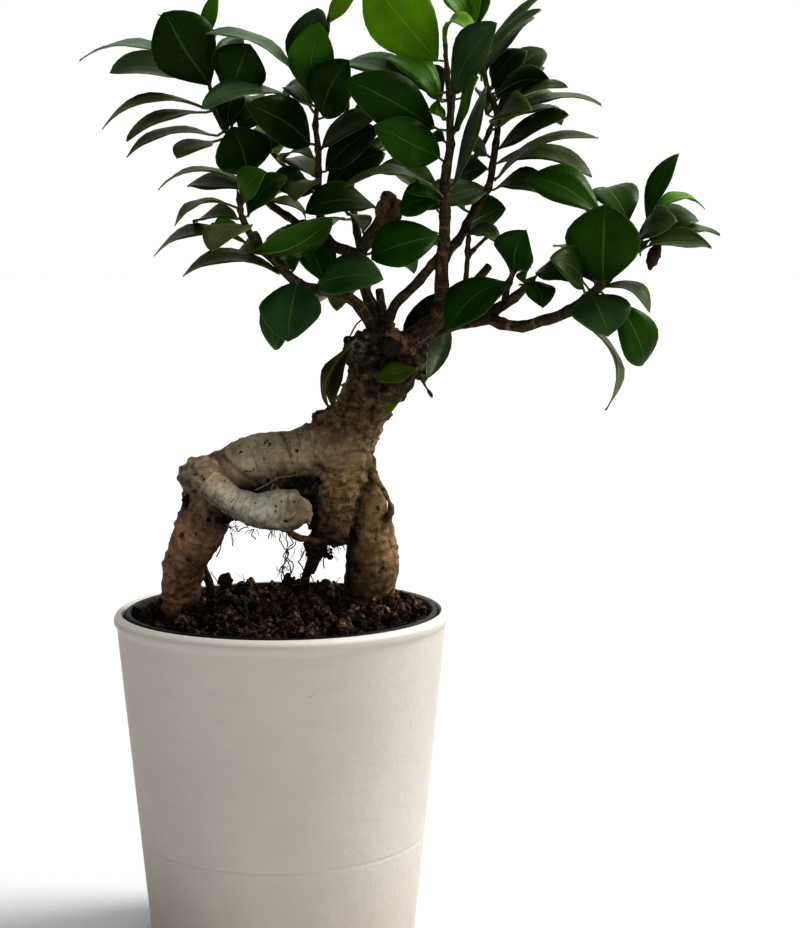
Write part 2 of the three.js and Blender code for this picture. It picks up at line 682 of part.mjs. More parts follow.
function localPlace(blade, point) {
  const from = point.clone().sub(blade.start);
  const s = from.dot(blade.along) / blade.length;
  return { s, t: from.dot(blade.across), h: from.dot(blade.normal) - archHeight(blade, s) };
}

function isOver(blade, s, t, margin) {
  const reach = margin / blade.length;
  return s > -reach && s < 1 + reach && Math.abs(t) < halfWidth(blade, s) + margin;
}

function edgeMeets([from, to], blade, margin) {
  const a = localPlace(blade, from);
  const b = localPlace(blade, to);
  if (Math.abs(a.h) < margin && isOver(blade, a.s, a.t, margin)) return true;
  if (Math.abs(b.h) < margin && isOver(blade, b.s, b.t, margin)) return true;
  if (a.h * b.h >= 0) return false;
  const k = a.h / (a.h - b.h);
  return isOver(blade, a.s + (b.s - a.s) * k, a.t + (b.t - a.t) * k, margin);
}

function bladeEdges(blade, first) {
  const rows = [];
  for (let i = 0; i <= BLADE_TEST_ROWS; i++) {
    const s = first + ((1 - first) * i) / BLADE_TEST_ROWS;
    rows.push([-1, 0, 1].map((side) => bladePoint(blade, s, side)));
  }
  const edges = [];
  rows.forEach((row, i) => {
    edges.push([row[0], row[1]], [row[1], row[2]]);
    if (i > 0) row.forEach((point, k) => edges.push([rows[i - 1][k], point]));
  });
  return edges;
}

function bladesMeet(a, b) {
  const between = bladePoint(a, 0.5, 0).distanceTo(bladePoint(b, 0.5, 0));
  const sameStem = a.stem === b.stem;
  const petioles = Math.max(a.root.distanceTo(a.start), b.root.distanceTo(b.start));
  if (between > (a.length + b.length) / 2 + petioles + 4) return false;
  const first = sameStem ? 0.25 : 0.02;
  const edgesOfA = bladeEdges(a, first);
  const edgesOfB = bladeEdges(b, first);
  if (!sameStem) {
    edgesOfA.push([a.root, a.start]);
    edgesOfB.push([b.root, b.start]);
  }
  return (
    edgesOfA.some((edge) => edgeMeets(edge, b, BLADE_CLEARANCE)) ||
    edgesOfB.some((edge) => edgeMeets(edge, a, BLADE_CLEARANCE))
  );
}

// Short pieces of every stem's centre line, each with its radius.
const stemPieces = Object.entries(STEMS).flatMap(([stem, parts]) =>
  Object.values(parts).flatMap((run) =>
    run.slice(1).map((to, i) => ({
      stem,
      ends: [seen(run[i][0], run[i][1], run[i][2]), seen(to[0], to[1], to[2])],
      radius: Math.max(run[i][3], to[3]),
    })),
  ),
);

function stemMeets(piece, blade) {
  const margin = piece.radius + BLADE_CLEARANCE;
  const middle = piece.ends[0].clone().lerp(piece.ends[1], 0.5);
  if (middle.distanceTo(bladePoint(blade, 0.5, 0)) > blade.length / 2 + 30) return false;
  const petiole = new THREE.Line3(blade.root, blade.start);
  const nearest = petiole.closestPointToPoint(middle, true, new THREE.Vector3());
  const halfPiece = piece.ends[0].distanceTo(piece.ends[1]) / 2;
  if (nearest.distanceTo(middle) < Math.min(margin, halfPiece + 1)) return true;
  return (
    edgeMeets([piece.ends[0], middle], blade, margin) || edgeMeets([middle, piece.ends[1]], blade, margin)
  );
}

function clashes(blade, placed) {
  const stems = stemPieces.filter((piece) => piece.stem !== blade.stem && stemMeets(piece, blade));
  const others = placed.filter((other) => bladesMeet(blade, other));
  return {
    hard: stems.length + others.filter((other) => other.stem !== blade.stem).length,
    soft: others.filter((other) => other.stem === blade.stem).length,
  };
}

// The nearest place on a stem to a place in the view. Leaves that spring from one tip are rooted one
// below the other.
function nearestOnStem(stem, [x, z], order) {
  let best = { gap: Infinity };
  for (const run of Object.values(STEMS[stem]))
    for (let i = 1; i < run.length; i++) {
      const [x0, z0, depth0] = run[i - 1];
      const [dx, dz, dDepth] = [run[i][0] - x0, run[i][1] - z0, run[i][2] - depth0];
      const share = ((x - x0) * dx + (z - z0) * dz) / (dx * dx + dz * dz);
      const k = Math.min(Math.max(share, 0), 1);
      const gap = Math.hypot(x - x0 - k * dx, z - z0 - k * dz);
      if (gap >= best.gap) continue;
      const back = k * (1 - ROOT_SPREAD * (1 + (order % 7)));
      best = { gap, x: x0 + back * dx, z: z0 + back * dz, depth: depth0 + back * dDepth };
    }
  return best;
}

function seenBlade(stem, order, [base, tip, deeper, width, face, arch], lift, swing) {
  const foot = nearestOnStem(stem, base, order);
  const root = seen(foot.x, foot.z, foot.depth);
  const start = seen(base[0], base[1], foot.depth + lift);
  const end = seen(tip[0], tip[1], foot.depth + lift + deeper + swing);
  const along = end.clone().sub(start).normalize();
  const reach = start.clone().sub(root).dot(along);
  root.addScaledVector(along, Math.min(0, reach - LEAST_PETIOLE));
  const toEye = EYE.clone().sub(start);
  toEye.addScaledVector(along, -toEye.dot(along)).normalize();
  const up = new THREE.Vector3().crossVectors(toEye, along);
  if (up.z < 0) up.negate();
  const angle = THREE.MathUtils.degToRad(face);
  const facing = toEye.multiplyScalar(Math.cos(angle)).addScaledVector(up, Math.sin(angle));
  return makeBlade(stem, root, start, end, facing, width, arch);
}

// Steps away from the wanted place: none, then further and further to either side.
function steps(count, size) {
  const list = [0];
  for (let i = 1; i <= count; i++) list.push(i * size, -i * size);
  return list;
}

// A seen leaf keeps its place in the view. Where it would cross something, it is moved nearer or
// further until it is clear.
function placeSeenLeaf(stem, order, leaf, placed) {
  let best = null;
  for (const lift of steps(3, 2.5))
    for (const swing of steps(6, SWING_STEP)) {
      const blade = seenBlade(stem, order, leaf, lift, swing);
      const { hard, soft } = clashes(blade, placed);
      const cost = 100 * hard + 8 * soft + Math.abs(lift) / 2.5 + Math.abs(swing) / SWING_STEP;
      if (!best || cost < best.cost) best = { blade, cost };
      if (cost === 0) return best;
    }
  return best;
}

// Leaves of the hidden side, in a spiral round their stems

function randomDraws(seed) {
  let state = seed;
  return () => {
    state = (state * 16807) % 2147483647;
    return state / 2147483647;
  };
}

function runPlace(run, t) {
  const at = t * (run.length - 1);
  const from = Math.min(Math.floor(at), run.length - 2);
  const ends = [run[from], run[from + 1]].map(([x, z, depth]) => seen(x, z, depth));
  const tangent = ends[1].clone().sub(ends[0]).normalize();
  return { point: ends[0].clone().lerp(ends[1], at - from), tangent };
}

function spiralBlade(stem, run, t, turn, length, width, rise, arch) {
  const { point, tangent } = runPlace(run, t);
  const side = new THREE.Vector3(Math.cos(turn), Math.sin(turn), 0);
  side.addScaledVector(tangent, -side.dot(tangent)).normalize();
  const out = side.multiplyScalar(Math.cos(rise)).add(new THREE.Vector3(0, 0, Math.sin(rise))).normalize();
  const start = point.clone().addScaledVector(out, 6);
  const tip = start.clone().addScaledVector(out, length);
  tip.z -= 0.12 * length;
  return makeBlade(stem, point, start, tip, new THREE.Vector3(0, 0, 1), width, arch);
}

function isHidden(blade, seenBlades) {
  const points = bladeEdges(blade, 0.05).map(([point]) => point);
  const covered = points.filter((point) => {
    const onPlane = point.clone().sub(EYE).multiplyScalar(EYE.y / (EYE.y - point.y)).add(EYE);
    return onPlane.z > PICTURE_TOP || seenBlades.some((front) => edgeMeets([EYE, point], front, -0.5));
  });
  return covered.length > 0.9 * points.length;
}

function placeFillers(placed) {
  const seenBlades = [...placed];
  const random = randomDraws(FILLER_SEED);
  for (const [stem, part, first, last, count] of FILLED_STEMS)
    for (let i = 0; i < count; i++) {
      const t = first + ((last - first) * i) / (count - 1);
      const turn = 2.4 * i + 0.5 * random();
      const length = 27 + 9 * random();
      const width = length * (0.48 + 0.1 * random());
      const rise = 0.15 + 0.6 * random() * t;
      const arch = 2 + 2 * random();
      for (const away of steps(5, 0.55)) {
        const blade = spiralBlade(stem, STEMS[stem][part], t, turn + away, length, width, rise, arch);
        const { hard, soft } = clashes(blade, placed);
        if (hard + soft > 0 || !isHidden(blade, seenBlades)) continue;
        placed.push(blade);
        break;
      }
    }
}

function placeLeaves() {
  const placed = [];
  for (const [stem, leaves] of Object.entries(SEEN_LEAVES))
    leaves.forEach((leaf, i) => {
      const best = placeSeenLeaf(stem, i, leaf, placed);
      if (best.cost < 100) placed.push(best.blade);
    });
  placeFillers(placed);
  return placed;
}

// The tree: each stem is cut to fit the rootstock and the stems before it

function leafyStems() {
  const blades = placeLeaves();
  let taken = rootstock(SEAT_GAP);
  const bodies = {};
  for (const stem of Object.keys(STEMS)) {
    const leaves = blades.filter((blade) => blade.stem === stem).map(bladeSolid);
    const leafy = joined([stemLimbs(stem), ...leaves]).subtract(taken);
    bodies[stem] = largestBody(leafy.simplify(FINEST_DETAIL));
    taken = taken.add(stemLimbs(stem, SEAT_GAP));
  }
  return bodies;
}

const stems = leafyStems();
const soilHoles = BURIED_ROOTS.map((name) => limb(ROOTS[name], ROOT_STEP, SEAT_GAP));

const bonsai = new THREE.Group();
bonsai.name = "ficus_ginseng_bonsai";
bonsai.add(
  meshOf("cover_pot", coverPot(), glaze),
  meshOf("growing_pot", growingPot(), blackPlastic),
  meshOf("soil", soil(soilHoles), peat),
  meshOf("rootstock", rootstock(), bark),
  meshOf("leafy_stem_left_low", stems.leftLow, foliage),
  meshOf("leafy_stem_left_high", stems.leftHigh, foliage),
  meshOf("leafy_stem_main", stems.main, foliage),
  meshOf("leafy_stem_right_low", stems.rightLow, foliage),
  meshOf("leafy_stem_back_left", stems.backLeft, foliage),
  meshOf("leafy_stem_back_right", stems.backRight, foliage),
  meshOf("sprout_leaf_front", stems.sproutFront, youngFoliage),
  meshOf("sprout_leaf_neck", stems.sproutNeck, youngFoliage),
  meshOf("sprout_leaf_back", stems.sproutBack, foliage),
  meshOf("dry_leaf", stems.dryLeaf, dryFoliage),
);

export default bonsai;
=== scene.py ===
"""A grafted ficus with swollen bare roots, in its growing pot and cover pot."""
import math

import bmesh
import bpy
import numpy as np
from mathutils import Euler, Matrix, Vector, kdtree, noise


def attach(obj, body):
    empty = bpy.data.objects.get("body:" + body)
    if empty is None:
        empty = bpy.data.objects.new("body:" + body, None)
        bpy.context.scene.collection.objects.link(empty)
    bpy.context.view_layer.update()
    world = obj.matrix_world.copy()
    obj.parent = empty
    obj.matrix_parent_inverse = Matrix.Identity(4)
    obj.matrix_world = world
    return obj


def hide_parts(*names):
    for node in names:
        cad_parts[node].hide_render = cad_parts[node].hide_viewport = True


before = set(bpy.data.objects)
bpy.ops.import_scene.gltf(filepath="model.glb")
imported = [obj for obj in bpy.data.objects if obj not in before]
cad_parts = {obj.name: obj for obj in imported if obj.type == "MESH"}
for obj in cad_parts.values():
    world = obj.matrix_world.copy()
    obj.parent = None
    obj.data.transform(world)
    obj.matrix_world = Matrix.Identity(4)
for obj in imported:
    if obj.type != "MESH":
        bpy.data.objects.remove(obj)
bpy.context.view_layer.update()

bl_info = {
    "name": "Ficus ginseng bonsai",
    "version": (1, 0, 0),
    "blender": (4, 5, 0),
    "location": "View3D > Sidebar > Bonsai",
    "description": "Models the finished look of a grafted ficus in its pots",
    "category": "Object",
}

MM = 0.001
ROOT_BODY = "root"

# Sizes in millimetres, +Z up, origin in the middle of the cover pot's base. The photographed side faces
# -Y. Roots, stems and leaves are placed as seen from the eye, on the upright plane through the pot's
# axis, as x and z with their depth behind that plane.
EYE = np.array([46.0, -780.0, 275.4])
VIEW_PITCH = 6.47
LENS = 78.9

RIM_DIAMETER = 130
POT_HEIGHT = 130
BASE_DIAMETER = 103
POT_WALL = 3.8
POT_FLOOR = 6.5
RIM_BEAD = 0.8
RING_LINE_HEIGHT = 42
NIB_X, NIB_HEIGHT, NIB_RADIUS = 14.0, 109.2, 0.75
LIP_DIAMETER = 121.6
LIP_TOP = 131.2
LIP_HEIGHT = 5.6
LIP_WIDTH = 3.2
GROWING_POT_WALL = 1.1
GROWING_POT_FOOT = 6.8
GROWING_POT_FLOOR = 1.4
GROWING_POT_BASE_DIAMETER = 88
DRAIN_HOLES, DRAIN_RING_RADIUS, DRAIN_HOLE_RADIUS = 5, 26, 4
SOIL_LEVEL = 128.6
SOIL_EDGE_LEVEL = 126.5
SOIL_RADIUS = 55.6
PEAT_DISC = SOIL_RADIUS + 0.9
PEAT_DROPS = (20, 98)
CRUMB_REACH = 53.5
FIBRE_REACH = 52.5

# The leaves' solids, and the draws that turn the leaves on the far side
PETIOLE_WIDTH = 1.7
BLADE_THICKNESS = 0.7
ROOT_SPREAD = 0.055
LEAST_PETIOLE = 1.6
FILLER_SEED = 4211
FILLER_STALK = 6
FILLER_TURN = 2.4
DRAW_FACTOR, DRAW_RANGE = 16807, 2147483647
# A leaf is its solid's own where this many corners lie within this gap of the solid's
LEAST_CORNERS, CORNER_GAP = 4, 0.03

# Looks: rows of veins, distance between a stem's nodes, what one root's grain is set apart from the next
VEINS_ALONG_LEAF = 13.0
NODE_STEP = 9
GRAIN_STEP = 61.0
THICKEST_WITH_BUD = 1.4
FULL_TURN = 6.283
KEY_LIGHT_FROM = (0.78, 0.21, 0.72)
SOIL_SEED, FLAKE_SEED, HAIR_SEED, LEAF_SEED = 71, 5, 23, 19

# Spots of the rootstock and the soil that are shaped one by one, as seen: x, z, depth
TRUNK_BULGE = (24, 168, -8)
KNEE_HOLLOW = (-38.5, 173, -4)
SPROUT_SEAT = (43, 224, -14)
MEALY_PATCH = (28.5, 232, -8)
SOIL_CLUMP = (13, 153, 8)
TWIG_BEND = (38, 175, 0)
PALE_BIT_IN_FRONT = (41.3, 129.8, -5)

# Tones of the leaves
OLD, MATURE, YOUNG, BLUISH, LIME, DRY = range(6)

# Roots and stems are runs of (x, z, depth, radius), and knobs are round swellings
ROOTS = {
    "left_leg": [
        (-26, 182, 0, 8.0), (-28.2, 174, 1, 10.2), (-30.6, 164, -1, 10.4), (-34.6, 155, -1, 9.2),
        (-38, 146, 1, 8.0), (-39, 135, 4, 7.4), (-39, 122, 5, 7.0), (-39, 108, 6, 5.5),
    ],
    "knee_knob": [(-34.6, 177.5, -4, 5.0), (-34, 182, -5, 6.0), (-30, 185.5, -6, 4.4)],
    "crossing_root": [
        (-32, 182.5, -8, 4.8), (-28, 180, -10, 5.8), (-23, 175.8, -12, 6.1), (-18, 171.8, -13, 6.1),
        (-13, 169.8, -14, 6.3), (-6.5, 168.8, -15, 7.3), (0.5, 169, -14, 8.1), (6, 169, -13, 7.4),
        (9, 169, -12, 4.6),
    ],
    "thigh": [
        (-27, 182, -1, 6.0), (-19, 185, 0, 9.4), (-12, 187, 1, 11.0), (-4, 189, 2, 11.2), (4, 190, 3, 10.4),
        (13, 192, 4, 9.8), (23, 194, 5, 9.8),
    ],
    "under_thigh": [
        (-12, 180, 4, 5.0), (-4, 179, 4, 6.0), (4, 179.5, 5, 6.6), (12, 180, 6, 6.6), (20, 182, 6, 6.0),
    ],
    "trunk": [
        (40, 231, 0, 11.5), (39, 224, 1, 12.2), (35, 216, 2, 10.8), (31, 207, 3, 10.3), (26, 198, 5, 10.4),
        (24, 188, 6, 11.3), (23, 178, 7, 12.0), (22, 168, 8, 10.4), (20, 160, 7, 6.4),
    ],
    "right_leg": [
        (29, 188, 7, 6.6), (32, 178, 9, 6.8), (34, 168, 11, 8.0), (35, 157, 14, 10.0), (35, 146, 17, 10.7),
        (34, 137, 19, 10.0), (34, 129, 20, 9.0), (33, 118, 20, 7.5), (33, 104, 20, 5.5),
    ],
    "under_root": [(19, 158, 4, 2.2), (13, 157, 2, 1.6), (5, 159, 0, 1.2), (2, 163, -4, 1.2)],
    "soil_root": [
        (16, 161, 8, 3.6), (13, 155, 9, 4.2), (13, 149, 10, 2.2), (10, 145, 11, 1.7), (9, 137, 11, 1.7),
        (8, 125, 11, 1.4),
    ],
    "side_root": [(-32, 151, 4, 2.4), (-30, 145, 8, 1.8), (-27, 137, 11, 1.6), (-27, 126, 12, 1.3)],
    "twig_root": [
        (31, 185, 4, 2.6), (37, 181, 1, 1.5), (40, 176, 0, 1.2), (42, 172, 2, 1.1), (42.5, 168, 6, 1.6),
        (40, 165, 9, 1.4),
    ],
    "cut_stub": [(41, 232, -8, 4.6), (45, 234, -11, 4.4), (49, 233, -13, 4.0)],
}
THIN_ROOTS = ("under_root", "soil_root", "side_root", "twig_root")
KNOBS = {
    "graft_left": (31, 230, -2, 7.5), "graft_right": (48, 228, 2, 8.5), "graft_front": (40, 226, -7, 8.0),
    "graft_back": (41, 230, 8, 7.5), "graft_top": (39, 234, 1, 6.5), "graft_low": (45, 220, 0, 6.5),
    "bark_lump": (16, 205, 3, 3.2), "knee_bump": (-29.9, 187.4, -7, 3.0),
    "knee_nub": (-26.6, 185.4, -9, 2.3), "saddle": (18, 195, 3, 9.5),
}
STEMS = {
    "left_low": {
        "axis": [
            (38, 236, 0, 2.6), (33, 244, -2, 2.4), (29, 249, -4, 2.2), (24, 252, -6, 2.1),
            (16, 254, -9, 2.0), (10, 255, -11, 1.9), (5, 258, -12, 1.8), (-1, 264, -13, 1.6),
            (-7, 270, -14, 1.5), (-11, 275, -15, 1.3), (-14, 281, -15, 1.2), (-15, 286, -15, 0.9),
        ],
    },
    "left_high": {
        "axis": [
            (38, 236, 2, 2.6), (36, 245, 3, 2.4), (33, 253, 4, 2.2), (31, 262, 5, 2.1), (31, 268, 5, 2.4),
            (34, 273, 4, 2.9), (39, 279, 3, 3.4), (42, 283, 3, 4.8), (44, 287, 3, 3.6),
        ],
        "fork": [
            (32, 267, 5, 2.2), (25, 269, 6, 2.1), (20, 271, 7, 2.2), (17, 275, 8, 2.1), (16, 280, 9, 1.6),
            (15, 288, 10, 1.4), (15, 297, 10, 1.3), (15, 307, 10, 1.2), (14, 316, 10, 1.1),
            (15, 326, 11, 0.9), (17, 340, 12, 0.8), (19, 354, 12, 0.7),
        ],
        "far": [
            (17, 274, 8, 2.0), (10, 277, 12, 1.7), (3, 282, 15, 1.5), (-4, 287, 18, 1.4), (-8, 294, 20, 1.3),
            (-12, 301, 20, 1.2), (-16, 308, 19, 1.1), (-20, 314, 18, 1.1), (-24, 321, 17, 1.0),
            (-26, 331, 16, 0.8), (-27, 341, 17, 0.7), (-27, 349, 18, 0.6),
        ],
    },
    "main": {
        "axis": [
            (45, 232, -1, 4.2), (51, 236, -2, 3.9), (57, 240, -3, 3.7), (61, 244, -4, 3.4),
            (62, 250, -5, 3.0), (62, 263, -6, 2.5), (63, 277, -7, 2.2), (63, 286, -8, 2.0),
            (63, 296, -8, 1.8), (65, 307, -8, 1.6), (65, 315, -8, 1.5), (65, 325, -7, 1.3),
            (64, 334, -6, 1.1), (63, 346, -6, 0.8),
        ],
        "inner": [
            (40, 237, -2, 2.2), (44, 248, -1, 2.0), (52, 256, -1, 1.9), (57, 262, -3, 1.8),
            (62, 268, -6, 1.7),
        ],
        "short": [(40, 239, 2, 2.1), (39, 247, 3, 1.8), (38, 254, 4, 1.5)],
        "fork": [
            (62, 264, -5, 1.9), (65, 269, -2, 1.8), (69, 274, 1, 1.6), (73, 282, 6, 1.5), (77, 288, 9, 1.4),
            (80, 294, 12, 1.4), (81, 300, 13, 1.3), (82, 307, 14, 1.3), (83, 316, 14, 1.2),
            (82, 323, 14, 1.1), (79, 330, 14, 1.0), (77, 340, 13, 0.8), (74, 353, 12, 0.7),
        ],
    },
    "right_low": {
        "axis": [
            (51, 233, 8, 3.0), (59, 238, 9, 2.8), (67, 241, 6, 2.6), (74, 242, 1, 2.5), (80, 243, -3, 2.4),
            (85, 241, -7, 2.3), (93, 240, -10, 2.2), (100, 242, -12, 2.2), (107, 244, -14, 2.2),
            (114, 248, -15, 2.1), (119, 252, -16, 2.0), (125, 258, -16, 1.9), (130, 264, -15, 1.8),
            (136, 269, -14, 1.4),
        ],
        "side": [
            (77, 242, -2, 2.2), (82, 246, -3, 2.1), (87, 249, -5, 1.9), (91, 252, -6, 1.8),
            (94, 255, -7, 1.4),
        ],
        "side_twig": [(86, 249, -5, 1.4), (87, 255, -7, 1.2), (89, 260, -8, 1.1)],
        "bare": [(76, 242, 0, 1.4), (71, 249, 1, 1.2), (71, 255, 1, 1.0), (72, 271, 2, 0.9)],
        "bare_side": [(72, 266, 2, 0.8), (74, 269, 2, 0.7), (78, 273, 3, 0.6)],
        "stub": [(74, 244, 2, 1.8), (74, 253, 3, 1.6), (76, 258, 4, 1.6), (80, 263, 5, 1.5)],
    },
    "back_left": {
        "axis": [
            (35, 236, 9, 2.2), (35, 245, 13, 2.0), (33, 254, 18, 1.9), (32, 264, 26, 1.7),
            (30, 274, 36, 1.5), (28, 286, 46, 1.4), (27, 297, 54, 1.3), (26, 309, 59, 1.1),
            (26, 322, 61, 0.9),
        ],
        "fork": [
            (28, 286, 46, 1.3), (19, 290, 54, 1.2), (10, 295, 58, 1.1), (2, 301, 58, 0.9),
            (-6, 310, 52, 0.8),
        ],
    },
    "back_right": {
        "axis": [
            (47, 234, 10, 2.2), (55, 240, 16, 2.0), (61, 246, 22, 1.9), (62, 257, 29, 1.7),
            (63, 269, 37, 1.5), (64, 282, 45, 1.4), (64, 295, 52, 1.3), (65, 310, 57, 1.1),
            (66, 325, 60, 0.9),
        ],
        "fork": [(64, 289, 50, 1.3), (71, 299, 56, 1.2), (78, 310, 58, 1.0), (84, 324, 56, 0.8)],
    },
    "sprout_front": {"axis": [(50, 225, -2, 1.3), (53, 224, -9, 1.0)]},
    "sprout_neck": {"axis": [(45, 215, 0, 1.1), (48, 214, -3, 0.8)]},
    "sprout_back": {"axis": [(50, 222, 4, 1.6), (56, 220, 8, 1.2)]},
    "dry_leaf": {"axis": [(29, 231, -3, 1.1), (25, 233, -7, 0.8)]},
}
